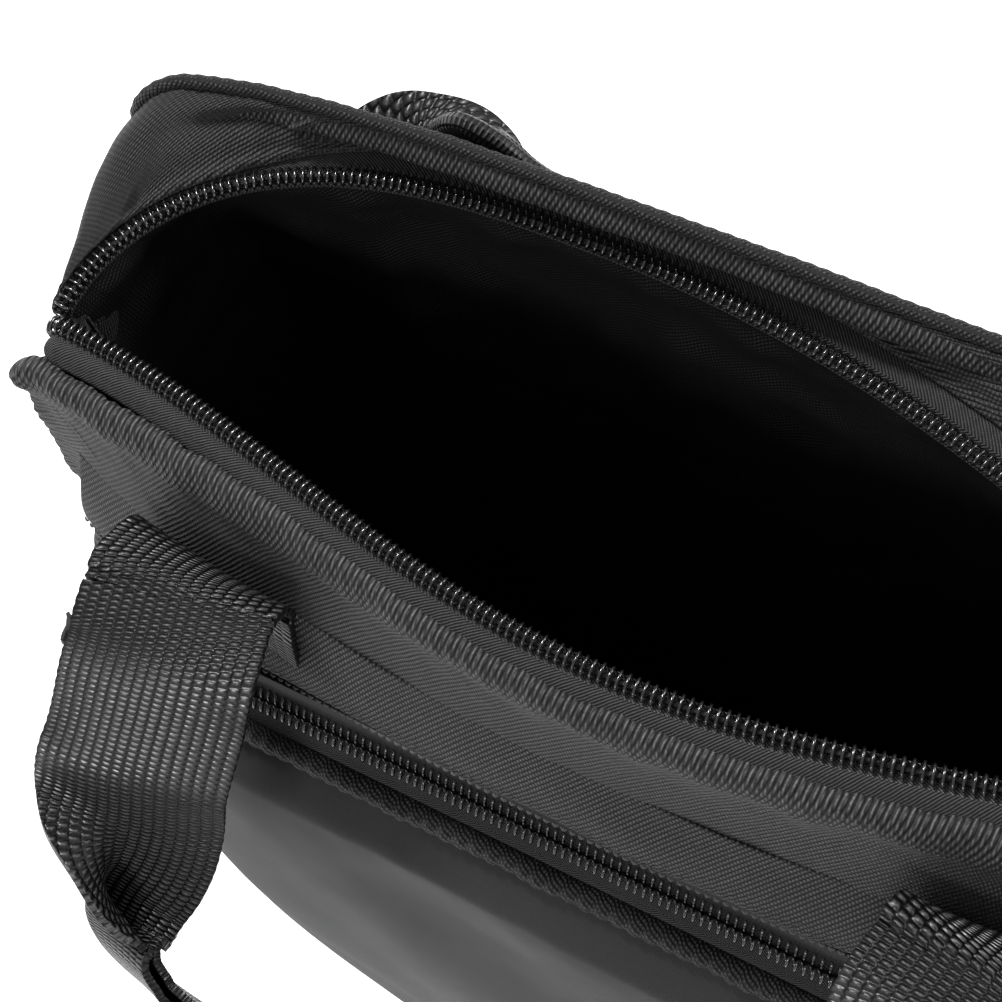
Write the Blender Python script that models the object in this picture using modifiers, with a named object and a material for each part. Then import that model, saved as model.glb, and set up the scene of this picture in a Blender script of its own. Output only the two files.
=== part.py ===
"""Drum stick bag: a tall padded bag with an open two-coil zip mouth, a zipped front pocket
and two webbing handles.  Metres, +Z up, +X to the right, the front faces -Y.
The origin is the centre of the base, on the surface that the bag stands on."""
import math

import bmesh
import bpy
from mathutils import Matrix, Vector

# ---------------------------------------------------------------- driving dimensions
RIM = 0.435              # height of the mouth's zip
HALF = 0.155             # half of the outer length
FRONT = 0.054            # front panel's distance from the middle plane
REAR = 0.055             # rear panel's distance from the middle plane
BULGE = 0.004            # padding's crown on both panels
FRONT_CORNER = 0.016     # plan radius of the front vertical edges
REAR_CORNER = 0.030      # plan radius of the rear vertical edges
LEAN = 0.110             # height over which the front panel leans back to the mouth
WELT_RISE = 0.010        # the rear panel's top stands this far above the zip
GAP = 0.0004             # clearance between neighbouring pieces

MOUTH_HALF = 0.1490      # half of the zip's length across the top
REAR_LIP_HALF = 0.1445   # half of the rear coil's run across the top
LIP_END = -0.0125        # y where the two coils meet
LIP_FRONT = -0.0335      # y of the front coil at its middle
LIP_REAR = 0.0436        # y of the rear coil at its widest
LIP_PEAK = -0.050        # x where the rear coil is widest
SLIT = 0.095             # how far the zip runs down each end wall
TURN = 0.012             # radius of the front coil where it turns down
REAR_TURN = 0.006        # radius of the rear coil where it turns down

SKIN = 0.0016            # outer fabric
FOAM = 0.0040
LINING = 0.0008
TAPE_WIDTH = 0.0065
TAPE = 0.0009
COIL = 0.0014            # radius of a coil
CORD = 0.0022            # radius of the piping

HEM = RIM - 0.052        # bottom edge of the hem above the pocket zip
POCKET_ZIP_Y = -0.0600
POCKET_ZIP_Z = RIM - 0.0635
POCKET_SLOPE = (-0.555, -0.832)   # y and z of the way down the sloping pocket zip
POCKET_COIL = 0.00115    # radius of the pocket zip's coils
POCKET_REACH = 0.130     # half of the pocket zip's length
POCKET_HALF = 0.148
POCKET_TOP = RIM - 0.0755
POCKET_FOOT = 0.014
POCKET_BASE = -0.0620    # plane that the pocket stands out from
POCKET_DEPTH = 0.036
POCKET_SLIDER_X = 0.122
MAIN_SLIDER_Z = RIM - SLIT + 0.031

WEBBING = 0.044          # handle webbing's width
GRIP = 0.023             # width of the grip, where the webbing is folded in half
WEBBING_THICK = 0.0020
HANDLE_X = 0.093         # distance of a handle's legs from the middle
LEAVE_Z = RIM - 0.019    # where the front handle's webbing leaves the panel
LEAVE_OUT = 0.0052       # how far it stands off the panel there
FOLD_OUT = 0.0120        # the fold's distance out from there, and above it
FOLD_UP = 0.0105
FOLD_GAP = 0.0006        # space between a handle and its sewn ends
REAR_FOLD_Z = RIM - 0.012
REAR_HANDLE_OUT = 0.0062

WALL = 0.0018            # end walls, a heavier fabric than the panels
WALL_INSET = 0.0022      # end walls' distance inside the outer length
COIL_INSET = 0.0022      # the coils' distance from the lips' own lines
TAPE_REACH = TAPE_WIDTH * 0.6
POCKET_SKIN = 0.0014
COIL_PITCH = 0.00145     # distance of a pocket coil from the middle of its zip
PULL_AXIS = 0.0040       # height of a pull's pivot above the back of the slider plate

# ---------------------------------------------------------------- collections and materials


def clear_scene():
    for thing in list(bpy.data.objects):
        bpy.data.objects.remove(thing, do_unlink=True)


def collection(name):
    group = bpy.data.collections.new(name)
    bpy.context.scene.collection.children.link(group)
    return group


def material(name, colour, roughness, metallic=0.0):
    made = bpy.data.materials.new(name)
    made.use_nodes = True
    shader = made.node_tree.nodes["Principled BSDF"]
    shader.inputs["Base Color"].default_value = (*colour, 1.0)
    shader.inputs["Roughness"].default_value = roughness
    shader.inputs["Metallic"].default_value = metallic
    return made


clear_scene()
BAG = collection("drum_stick_bag")
CHARCOAL = (0.030, 0.030, 0.032)
BLACK = (0.012, 0.012, 0.013)
COLOURS = {
    "shell": (CHARCOAL, 0.85, 0.0),
    "pocket": ((0.045, 0.045, 0.050), 0.75, 0.0),
    "lining": (BLACK, 0.80, 0.0),
    "foam": ((0.10, 0.10, 0.11), 0.95, 0.0),
    "board": ((0.03, 0.03, 0.03), 0.60, 0.0),
    "tape": (BLACK, 0.80, 0.0),
    "coil": (BLACK, 0.25, 0.0),
    "piping": (CHARCOAL, 0.80, 0.0),
    "webbing": (BLACK, 0.55, 0.0),
    "slider": ((0.04, 0.04, 0.045), 0.30, 1.0),
}


def finish_object(thing, slot):
    """Give a new object its own material and put it in the bag's collection."""
    thing.data.materials.clear()
    thing.data.materials.append(material(f"{slot}_{thing.name}", *COLOURS[slot]))
    for group in list(thing.users_collection):
        group.objects.unlink(thing)
    BAG.objects.link(thing)
    return thing


# ---------------------------------------------------------------- helpers for shapes


def clamp(value, low=0.0, high=1.0):
    return max(low, min(high, value))


def mix(a, b, t):
    return a + (b - a) * t


def corner(offset, half, radius):
    """How far a rounded corner has dropped at this offset from the middle."""
    inside = clamp(abs(offset) - (half - radius), 0.0, radius * 0.9995)
    return radius - math.sqrt(radius * radius - inside * inside)


def eased(u, power=0.55):
    """Spread samples -1..1 so that they crowd towards both ends."""
    return math.copysign(1.0 - (1.0 - abs(u)) ** (1.0 / power), u)


def sheet(name, slot, place, columns, rows, thickness, offset=0.0):
    """A sheet solid: place(u, v) gives a point for u and v in 0..1, Solidify its thickness."""
    mesh = bpy.data.meshes.new(name)
    shape = bmesh.new()
    bmesh.ops.create_grid(shape, x_segments=columns, y_segments=rows, size=0.5)
    for vert in shape.verts:
        vert.co = Vector(place(vert.co.x + 0.5, vert.co.y + 0.5))
    shape.to_mesh(mesh)
    shape.free()
    thing = bpy.data.objects.new(name, mesh)
    bpy.context.scene.collection.objects.link(thing)
    solid = thing.modifiers.new("thickness", "SOLIDIFY")
    solid.thickness = thickness
    solid.offset = offset
    solid.use_even_offset = False
    return finish_object(thing, slot)


def set_origin(thing, point):
    """Move an object's origin to a point, and leave its shape where it is."""
    thing.data.transform(Matrix.Translation(-Vector(point)))
    thing.location = point
    return thing


def tube(name, slot, points, radius):
    """A round cord through the given points, with filled caps."""
    data = bpy.data.curves.new(name, "CURVE")
    data.dimensions = "3D"
    data.bevel_depth = radius
    data.bevel_resolution = 2
    data.use_fill_caps = True
    spline = data.splines.new("POLY")
    spline.points.add(len(points) - 1)
    for slot_point, point in zip(spline.points, points):
        slot_point.co = (*point, 1.0)
    thing = bpy.data.objects.new(name, data)
    bpy.context.scene.collection.objects.link(thing)
    return finish_object(thing, slot)


def block(name, slot, centre, size, bevel=0.0):
    """A box with rounded edges, its origin at its own centre."""
    bpy.ops.mesh.primitive_cube_add(size=1.0, location=centre)
    thing = bpy.context.object
    thing.name = name
    thing.data.name = name
    for vert in thing.data.vertices:
        vert.co = Vector([vert.co[i] * size[i] for i in range(3)])
    if bevel:
        rounding = thing.modifiers.new("rounding", "BEVEL")
        rounding.width = bevel
        rounding.segments = 2
    return finish_object(thing, slot)


def smooth_path(knots, count):
    """Catmull-Rom curve through the knots, read at count evenly spaced parameters."""
    points = [Vector(k) for k in knots]
    padded = [points[0] * 2 - points[1]] + points + [points[-1] * 2 - points[-2]]
    made = []
    for i in range(count):
        t = i / (count - 1) * (len(points) - 1)
        k = min(int(t), len(points) - 2)
        t -= k
        a, b, c, d = padded[k:k + 4]
        made.append(0.5 * (2 * b + (c - a) * t + (2 * a - 5 * b + 4 * c - d) * t * t
                           + (3 * b - a - 3 * c + d) * t ** 3))
    return made


# ---------------------------------------------------------------- the bag's surfaces


def front_lip(x):
    """y of the front coil."""
    return LIP_FRONT + (LIP_END - LIP_FRONT) * clamp(abs(x) / MOUTH_HALF) ** 2.2


def rear_lip(turn):
    """x and y of the rear coil, for a turn from 0 at the left end to pi at the right."""
    u, rise = abs(math.cos(turn)), math.sin(turn)
    if turn < math.pi / 2:
        x = LIP_PEAK - (LIP_PEAK + REAR_LIP_HALF) * u ** 0.69
        return x, mix(LIP_END + REAR_TURN, LIP_REAR, rise)
    x = LIP_PEAK + (REAR_LIP_HALF - LIP_PEAK) * u
    return x, mix(LIP_END + 0.50 * REAR_TURN, LIP_REAR, rise * rise)


def front_face(x, z):
    """y of the front panel's outer face."""
    crown = BULGE * (1 - (x / HALF) ** 2) * math.sin(math.pi * clamp(z / RIM)) ** 0.5
    body = -FRONT - crown + corner(x, HALF, FRONT_CORNER)
    lean = clamp((z - (RIM - LEAN)) / LEAN) ** 3
    return mix(body, front_lip(x) - 0.0085, lean)


def rear_face(x, z):
    """y of the rear panel's outer face."""
    crown = BULGE * (1 - (x / HALF) ** 2) * math.sin(math.pi * clamp(z / RIM)) ** 0.5
    return REAR + crown - corner(x, HALF, REAR_CORNER)


def front_top(x):
    return RIM - 0.006 - corner(x, HALF, 0.022)


def rear_top(x):
    return RIM + WELT_RISE - corner(x, HALF, 0.030)


def pocket_face(x, z):
    """y of the pocket panel's outer face."""
    along = clamp(1 - (abs(x) / (POCKET_HALF + 0.002)) ** 4) ** 0.5
    up = clamp((z - POCKET_FOOT) / (POCKET_TOP - POCKET_FOOT))
    fill = 0.24 + 0.76 * math.sin(math.pi * up ** 0.92) ** 0.6
    return POCKET_BASE - 0.002 - POCKET_DEPTH * along * fill


# ---------------------------------------------------------------- shell panels


def behind(face, x, z, sign, depth):
    """The point this far behind a face, along the face's own normal."""
    step = 0.0005
    slope_x = (face(x + step, z) - face(x - step, z)) / (2 * step)
    slope_z = (face(x, z + step) - face(x, z - step)) / (2 * step)
    inward = Vector((-slope_x, 1.0, -slope_z)).normalized() * sign
    return Vector((x, face(x, z), z)) + inward * depth


def panel_set(side, face, top, sign, inset):
    """Outer skin, foam and lining of one face, each a sheet behind the one before."""
    def layer(name, slot, depth, thickness, margin, columns, rows):
        half = HALF - 0.003 - margin

        def place(u, v):
            x = eased(2 * u - 1) * half
            z = mix(0.0035 + margin, top(x * (HALF - 0.003) / half) - margin * 1.2, v)
            return behind(face, x, z, sign, depth)
        return sheet(name, slot, place, columns, rows, thickness)

    foam_depth = SKIN + 0.0018 + FOAM / 2
    lining_depth = SKIN + 0.0028 + FOAM + LINING / 2
    layer(f"{side}_panel", "shell", SKIN / 2, SKIN, 0.0, 14, 16)
    layer(f"{side}_foam_pad", "foam", foam_depth, FOAM, inset, 8, 12)
    layer(f"{side}_lining", "lining", lining_depth, LINING, inset, 8, 12)


def end_gusset(name, sign):
    """End wall behind the zip's slit, and across the whole depth below the slit."""
    def place(u, v):
        z = mix(0.0045, RIM - 0.013, v)
        slit = clamp((z - (RIM - SLIT - 0.030)) / 0.025)
        y_front = mix(-FRONT + 0.0105, LIP_END + 0.0085, slit)
        y = mix(y_front, REAR - 0.0185, u)
        return sign * (HALF - WALL_INSET + 0.0015 * math.sin(math.pi * u)), y, z
    sheet(name, "shell", place, 8, 18, WALL)


def front_corner(name, sign):
    """The strip of the end wall between the front panel and the zip's slit."""
    def place(u, v):
        z = mix(RIM - SLIT - 0.002, RIM - 0.022, v)
        y_front = front_face(HALF - 0.003, z) + 0.0045
        y = mix(y_front, LIP_END - 0.0085, u)
        return sign * (HALF - WALL_INSET), y, z
    sheet(name, "shell", place, 4, 8, WALL)


def base():
    def bottom(u, v):
        x = eased(2 * u - 1) * (HALF - 0.004)
        near, far = front_face(x, 0.004) + 0.0030, rear_face(x, 0.004) - 0.0030
        return x, mix(near, far, v), 0.0011
    sheet("base_panel", "shell", bottom, 18, 2, 0.0022)
    board_size = (2 * HALF - 0.030, 0.078, 0.0024)
    block("base_board", "board", (0, -0.001, 0.0042), board_size, 0.0004)


# ---------------------------------------------------------------- main zip


def turned_down(end, heading, radius):
    """Points that carry a lip's end round a quarter circle and down the end wall."""
    run = []
    for step in range(1, 5):
        angle = step * math.pi / 8
        reach = radius * math.sin(angle)
        run.append(Vector((end[0] + heading[0] * reach, end[1] + heading[1] * reach,
                           end[2] - radius * (1 - math.cos(angle)))))
    foot = run[-1].copy()
    for step in range(1, 6):
        x = mix(foot.x, math.copysign(MOUTH_HALF, foot.x), min(1.0, step / 2))
        run.append(Vector((x, LIP_END, mix(foot.z, RIM - SLIT, step / 5))))
    return run


def lip_path(plan, radius, count=28):
    """A lip's whole run: up one end wall, along the mouth, down the other."""
    top = [Vector((*plan(i / (count - 1)), RIM)) for i in range(count)]
    ends = []
    for first, second in ((top[0], top[1]), (top[-1], top[-2])):
        ends.append(turned_down(first, (first - second).normalized(), radius))
    return ends[0][::-1] + top + ends[1]


def beside(path, sign, distance):
    """The path moved sideways within the bag's skin, away from the mouth."""
    made = []
    for i, point in enumerate(path):
        along = path[min(i + 1, len(path) - 1)] - path[max(i - 1, 0)]
        level = Vector((along.x, along.y, 0))
        upright = clamp(abs(along.z) / along.length * 2.5 - 1.5)
        side = Vector((-along.y, along.x, 0)) * sign
        if level.length > 1e-6:
            side.normalize()
        aim = side * (1 - upright) + Vector((0, sign, 0)) * upright
        made.append(point + aim.normalized() * distance)
    return made


def front_plan(t):
    x = mix(TURN - MOUTH_HALF, MOUTH_HALF - TURN, t)
    return x, front_lip(x)


def rear_plan(t):
    return rear_lip(math.pi * t)


def zip_half(side, plan, sign, radius):
    """Coil and tape of one half of the main zip."""
    run = beside(lip_path(plan, radius), sign, COIL_INSET)
    tube(f"{side}_zip_coil", "coil", run, COIL)
    inner = beside(run, sign, COIL + GAP + 0.0006)
    outer = beside(run, sign, COIL + GAP + TAPE_REACH)

    def place(u, v):
        k = round(u * (len(run) - 1))
        return inner[k].lerp(outer[k], v)
    sheet(f"{side}_zip_tape", "tape", place, len(run) - 1, 1, TAPE)


def mouth_gusset():
    """The band that rises from the rear coil's tape to the rear panel's top edge."""
    count = 30
    lip = [Vector((*rear_plan(mix(0.02, 0.98, i / count)), RIM)) for i in range(count + 1)]
    near = beside(lip, 1, COIL_INSET + COIL + 2 * GAP + TAPE_REACH + 0.0008)
    far = []
    for start, rim in zip(near, lip):
        heading = (start - rim).normalized()
        reach_x = (HALF - 0.0045 - abs(start.x)) / max(abs(heading.x), 1e-4)
        reach_y = (REAR - SKIN - GAP - 0.0009 - start.y) / max(heading.y, 1e-4)
        reach = max(0.0008, min(reach_x, reach_y))
        end = start + heading * reach
        end.y = min(end.y, rear_face(end.x, RIM) - SKIN - 0.0013)
        climb = clamp((end.y + 0.004) / 0.045)
        climb = climb * climb * (3 - 2 * climb)
        end.z = min(RIM - 0.004 + 0.0125 * climb, rear_top(end.x) - 0.0012)
        far.append(end)

    def place(u, v):
        k = round(u * count)
        point = near[k].lerp(far[k], v)
        point.z += 0.0012 + 0.0030 * math.sin(math.pi * v)
        return point
    sheet("rear_mouth_gusset", "shell", place, count, 3, 0.0012)


def main_zip():
    zip_half("front", front_plan, -1, TURN)
    zip_half("rear", rear_plan, 1, REAR_TURN)
    for name, sign in (("zip_end_stop_left", -1), ("zip_end_stop_right", 1)):
        place = (sign * MOUTH_HALF, LIP_END, RIM - SLIT - 0.0030)
        block(name, "slider", place, (0.0030, 0.0085, 0.0042), 0.0006)


# ---------------------------------------------------------------- piping


def front_rolled_edge():
    points = []
    for i in range(31):
        x = mix(-0.146, 0.146, i / 30)
        points.append((x, front_lip(x) - 0.0112, RIM - 0.0012 - corner(x, HALF, 0.018)))
    tube("front_rolled_edge", "piping", points, CORD)


def rear_welt():
    side = []
    for step in range(7):
        z = mix(0.020, RIM - 0.024, step / 6)
        side.append((HALF + 0.0012, rear_face(0.152, z) + 0.0029, z))
    for step in range(9):
        angle = math.pi / 2 * (1 - step / 8)
        x = HALF - 0.030 + 0.0312 * math.sin(angle)
        z = RIM - 0.020 + 0.0335 * math.cos(angle)
        side.append((x, rear_face(min(x, 0.152), RIM) - 0.0008 + 0.0037 * math.sin(angle), z))
    top = [(mix(0.118, 0.0, step / 8), REAR - 0.0008, RIM + 0.0128) for step in range(9)]
    half = side + top
    mirrored = [(-x, y, z) for x, y, z in half[:-1]]
    tube("rear_welt", "piping", mirrored + half[::-1], CORD)


# ---------------------------------------------------------------- pocket


def pocket_line(down, out=0.0):
    """y and z at a distance down the pocket zip's slope, and out from it."""
    y, z = POCKET_SLOPE
    return POCKET_ZIP_Y + y * down + z * out, POCKET_ZIP_Z + z * down - y * out


def pocket_strip(name, slot, start, end, half, thickness):
    def place(u, v):
        y, z = pocket_line(mix(start, end, v))
        return mix(-half, half, u), y, z
    sheet(name, slot, place, 8, 1, thickness)


def pocket():
    def panel(u, v):
        x = eased(2 * u - 1, 0.7) * POCKET_HALF
        z = mix(POCKET_FOOT, POCKET_TOP, 0.5 - 0.5 * math.cos(math.pi * v))
        return x, pocket_face(x, z), z
    sheet("pocket_panel", "pocket", panel, 16, 16, POCKET_SKIN)

    for name, sign in (("pocket_gusset_left", -1), ("pocket_gusset_right", 1)):
        def side(u, v, sign=sign):
            z = mix(POCKET_FOOT + 0.002, POCKET_TOP - 0.002, v)
            y = mix(front_face(0.1475, z) - 0.0012, pocket_face(0.1475, z) + 0.0014, u)
            return sign * 0.1466, y, z
        sheet(name, "pocket", side, 3, 12, 0.0012)

    def floor(u, v):
        x = mix(-0.140, 0.140, u)
        z = POCKET_FOOT - 0.0025
        return x, mix(front_face(x, z) - 0.0008, pocket_face(x, POCKET_FOOT) - 0.0006, v), z
    sheet("pocket_base_gusset", "pocket", floor, 10, 2, POCKET_SKIN)

    def hem(u, v):
        x = mix(-0.136, 0.136, u)
        z = mix(HEM - 0.001, HEM + 0.008, v)
        return x, front_face(x, z) - 0.0013, z
    sheet("pocket_hem", "shell", hem, 16, 3, POCKET_SKIN)

    edge = POCKET_COIL + COIL_PITCH + 0.0005
    pocket_strip("pocket_zip_tape_upper", "tape", -0.0072, -edge, POCKET_REACH, TAPE)
    pocket_strip("pocket_zip_tape_lower", "tape", edge, 0.0080, POCKET_REACH, TAPE)
    for name, down in (("pocket_zip_coil_upper", -COIL_PITCH), ("pocket_zip_coil_lower", COIL_PITCH)):
        y, z = pocket_line(down)
        tube(name, "coil", [(-POCKET_REACH, y, z), (POCKET_REACH, y, z)], POCKET_COIL)
    y, z = pocket_line(0.0112)
    tube("pocket_rolled_edge", "piping", [(-0.134, y, z), (0.134, y, z)], CORD)
    for name, sign in (("pocket_zip_stop_left", -1), ("pocket_zip_stop_right", 1)):
        centre = (sign * (POCKET_REACH + 0.0020), POCKET_ZIP_Y, POCKET_ZIP_Z)
        stop = block(name, "slider", centre, (0.0028, 0.0024, 0.0080), 0.0005)
        stop.rotation_euler.x = -math.asin(-POCKET_SLOPE[0])


# ---------------------------------------------------------------- sliders and pulls


def raw_block(low, high):
    """A plain box between two corners."""
    bpy.ops.mesh.primitive_cube_add(size=1.0)
    thing = bpy.context.object
    for vert in thing.data.vertices:
        vert.co = Vector([mix(low[i], high[i], vert.co[i] + 0.5) for i in range(3)])
    return thing


def joined(first, others):
    """Union the other objects into the first and remove them."""
    bpy.context.view_layer.objects.active = first
    for other in others:
        union = first.modifiers.new("join", "BOOLEAN")
        union.operation = "UNION"
        union.object = other
        bpy.ops.object.modifier_apply(modifier=union.name)
        bpy.data.objects.remove(other, do_unlink=True)
    return first


def slider_plate():
    """A slider lying flat: the zip runs along X and the plate faces +Z."""
    plate = raw_block((-0.0062, -0.0043, 0.0), (0.0062, 0.0043, 0.0022))
    rounding = plate.modifiers.new("rounding", "BEVEL")
    rounding.width = 0.0008
    rounding.segments = 2
    bpy.context.view_layer.objects.active = plate
    bpy.ops.object.modifier_apply(modifier="rounding")
    posts = []
    for x in (-0.0040, 0.0040):
        posts.append(raw_block((x - 0.0008, -0.0009, 0.0012), (x + 0.0008, 0.0009, 0.0062)))
    roof = raw_block((-0.0048, -0.0009, 0.0055), (0.0048, 0.0009, 0.0068))
    return joined(plate, posts + [roof])


def slider_pull():
    """The pull, flat over the zip towards -X, its cross bar under the slider's bridge."""
    low, high = PULL_AXIS - 0.0006, PULL_AXIS + 0.0006
    bar = raw_block((-0.0007, -0.0036, low), (0.0007, 0.0036, high))
    rails = []
    for y in (-0.0030, 0.0030):
        rails.append(raw_block((-0.0075, y - 0.0006, low), (0.0007, y + 0.0006, high)))
    tab = raw_block((-0.0280, -0.0040, low), (-0.0065, 0.0040, high))
    rounding = tab.modifiers.new("rounding", "BEVEL")
    rounding.width = 0.0005
    rounding.segments = 2
    bpy.context.view_layer.objects.active = tab
    bpy.ops.object.modifier_apply(modifier="rounding")
    return joined(tab, rails + [bar])


def slider(name, scale, place, along, out):
    """A slider and its pull.  along is the zip's way, out the way that the plate faces."""
    along, out = Vector(along).normalized(), Vector(out).normalized()
    turn = Matrix((along, out.cross(along), out)).transposed().to_4x4()
    pivot = Vector(place) + out * PULL_AXIS * scale
    body = slider_plate()
    body.name = f"{name}_slider_body"
    body.data.transform(Matrix.Scale(scale, 4))
    body.matrix_world = Matrix.Translation(place) @ turn
    pull = slider_pull()
    pull.name = f"{name}_slider_pull"
    pull.data.transform(Matrix.Scale(scale, 4) @ Matrix.Translation((0, 0, -PULL_AXIS)))
    pull.matrix_world = Matrix.Translation(pivot) @ turn
    for thing in (body, pull):
        finish_object(thing, "slider")


def sliders():
    out_y, out_z = pocket_line(0.0, POCKET_COIL + 0.0005)
    slider("pocket", 0.86, (POCKET_SLIDER_X, out_y, out_z), (1, 0, 0),
           (0, POCKET_SLOPE[1], -POCKET_SLOPE[0]))
    slider("main", 1.0, (MOUTH_HALF + COIL + 0.0009, LIP_END, MAIN_SLIDER_Z), (0, 0, 1), (1, 0, 0))


# ---------------------------------------------------------------- handles


def band(name, knots, count):
    """A webbing band.  Each knot is a point, the band's cross direction and its width."""
    centres = smooth_path([k[0] for k in knots], count)
    across = smooth_path([k[1] for k in knots], count)
    widths = smooth_path([(k[2], 0, 0) for k in knots], count)

    def place(u, v):
        k = round(u * (count - 1))
        return centres[k] + across[k].normalized() * widths[k].x * (v - 0.5)
    return sheet(name, "webbing", place, count - 1, 2, WEBBING_THICK)


def mirrored_knots(half):
    """Carry the left half of a handle over to the right."""
    right = [((-x, y, z), (-a, b, c), w) for (x, y, z), (a, b, c), w in half[:-1]]
    return half + right[::-1]


def sewn_end(face, heights, stand_off):
    """Knots up a panel's left side, each with its height and its distance off the panel."""
    knots = []
    for z, out in zip(heights, stand_off):
        left, right = face(-HANDLE_X - WEBBING / 2, z), face(-HANDLE_X + WEBBING / 2, z)
        across = (1, (right - left) / WEBBING, 0)
        knots.append(((-HANDLE_X, face(-HANDLE_X, z) + out, z), across, WEBBING))
    return knots


def both_ends(name, knots, count):
    """A sewn end on the left, and its mirror image on the right."""
    band(f"{name}_left", knots, count)
    band(f"{name}_right", [((-x, y, z), (-a, b, c), w) for (x, y, z), (a, b, c), w in knots], count)


def front_handle():
    y0, z0 = front_face(HANDLE_X, LEAVE_Z) - LEAVE_OUT, LEAVE_Z
    fold_y, fold_z = y0 - FOLD_OUT, z0 + FOLD_UP
    heights = (HEM + 0.0096, RIM - 0.030, z0 - 0.002)
    rise = [
        ((-0.0925, y0 - 0.0040, z0 + 0.0060), (1, 0, 0), WEBBING),
        ((-0.0910, fold_y, fold_z), (1, 0.03, 0), WEBBING),
    ]
    both_ends("front_handle_end", sewn_end(front_face, heights, (-0.0018, -0.0024, -0.0034)) + rise, 13)
    loop = [
        ((-0.0909, fold_y - FOLD_GAP, fold_z), (1, 0.03, 0), WEBBING),
        ((-0.0880, y0 - 0.0235, z0 + 0.0095), (1, 0.12, 0), WEBBING),
        ((-0.0870, y0 - 0.0350, z0 + 0.0020), (1, 0.30, 0.05), WEBBING),
        ((-0.0865, y0 - 0.0455, z0 - 0.0105), (1, 0.30, 0.15), WEBBING),
        ((-0.0880, y0 - 0.0545, z0 - 0.0280), (0.9, 0.25, 0.40), WEBBING * 0.88),
        ((-0.0880, y0 - 0.0610, z0 - 0.0460), (0.6, 0.15, 0.75), WEBBING * 0.70),
        ((-0.0780, y0 - 0.0670, z0 - 0.0620), (0.3, 0.10, 0.95), GRIP * 1.1),
        ((-0.0560, y0 - 0.0720, z0 - 0.0740), (0.1, 0.08, 1), GRIP),
        ((-0.0290, y0 - 0.0745, z0 - 0.0800), (0.03, 0.06, 1), GRIP),
        ((0, y0 - 0.0750, z0 - 0.0815), (0, 0.06, 1), GRIP),
    ]
    axis = (0, fold_y, fold_z + WEBBING_THICK / 2 + FOLD_GAP / 2)
    set_origin(band("front_handle", mirrored_knots(loop), 43), axis)


def rear_handle():
    y1, z1 = REAR + REAR_HANDLE_OUT, REAR_FOLD_Z
    heights = (RIM - 0.075, RIM - 0.045, z1)
    both_ends("rear_handle_end", sewn_end(rear_face, heights, (0.0018, 0.0024, 0.0034)), 7)
    loop = [
        ((-HANDLE_X, y1, z1 + 0.0015), (1, 0, 0), WEBBING),
        ((-0.0910, y1 + 0.0008, z1 + 0.0120), (1, 0, -0.15), WEBBING),
        ((-0.0840, y1 + 0.0014, z1 + 0.0210), (0.8, 0, -0.50), WEBBING * 0.86),
        ((-0.0720, y1 + 0.0020, z1 + 0.0230), (0.5, 0, -0.85), WEBBING * 0.66),
        ((-0.0560, y1 + 0.0026, z1 + 0.0190), (0.3, 0, -1), GRIP * 1.1),
        ((-0.0370, y1 + 0.0030, z1 + 0.0140), (0.1, 0, -1), GRIP),
        ((-0.0180, y1 + 0.0032, z1 + 0.0115), (0, 0, -1), GRIP),
        ((0, y1 + 0.0034, z1 + 0.0108), (0, 0, -1), GRIP),
    ]
    set_origin(band("rear_handle", mirrored_knots(loop), 33), (0, y1, z1))


# ---------------------------------------------------------------- build


def build():
    panel_set("front", front_face, front_top, 1, 0.016)
    panel_set("rear", rear_face, rear_top, -1, 0.026)
    end_gusset("end_gusset_left", -1)
    end_gusset("end_gusset_right", 1)
    front_corner("front_corner_left", -1)
    front_corner("front_corner_right", 1)
    base()
    mouth_gusset()
    main_zip()
    front_rolled_edge()
    rear_welt()
    pocket()
    front_handle()
    rear_handle()
    sliders()


build()
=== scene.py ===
"""Looks of the drum stick bag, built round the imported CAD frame.  Metres, +Z up, the front faces -Y.
The surfaces follow the same driving dimensions as the CAD, and every piece rides on a CAD body."""
import math

import bmesh
import bpy
import numpy as np
from mathutils import Matrix, Vector


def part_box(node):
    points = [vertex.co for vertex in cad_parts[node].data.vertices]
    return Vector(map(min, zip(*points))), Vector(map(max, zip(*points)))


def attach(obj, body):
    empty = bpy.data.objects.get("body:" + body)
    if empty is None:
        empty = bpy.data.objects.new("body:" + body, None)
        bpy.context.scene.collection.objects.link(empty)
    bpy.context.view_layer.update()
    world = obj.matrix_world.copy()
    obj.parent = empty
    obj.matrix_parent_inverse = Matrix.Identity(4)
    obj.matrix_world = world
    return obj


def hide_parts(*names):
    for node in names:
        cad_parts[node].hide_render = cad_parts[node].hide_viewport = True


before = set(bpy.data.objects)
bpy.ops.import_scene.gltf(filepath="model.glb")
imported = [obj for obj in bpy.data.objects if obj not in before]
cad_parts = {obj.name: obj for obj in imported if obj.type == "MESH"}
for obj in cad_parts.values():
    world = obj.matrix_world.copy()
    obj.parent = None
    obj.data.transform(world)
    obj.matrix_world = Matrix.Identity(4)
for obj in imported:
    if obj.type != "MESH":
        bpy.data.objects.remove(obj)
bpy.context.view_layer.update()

# ---------------------------------------------------------------- driving dimensions, from the frame
COIL = 0.0014                                      # radius of the CAD's plain coils
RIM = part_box("front_zip_coil")[1].z - COIL         # height of the mouth's zip
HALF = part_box("base_panel")[1].x + 0.004           # half of the outer length
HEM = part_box("pocket_hem")[0].z + 0.001            # bottom edge of the hem
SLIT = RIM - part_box("front_zip_coil")[0].z         # how far the zip runs down each end wall
FRONT, REAR = 0.054, 0.055                         # how far the two panels stand from the middle
BULGE, FRONT_CORNER, REAR_CORNER = 0.004, 0.016, 0.030
LEAN, WELT_RISE = 0.110, 0.010                     # the leaning top's height; the welt's, over the zip
MOUTH_HALF, REAR_LIP_HALF = 0.1490, 0.1445
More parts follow.
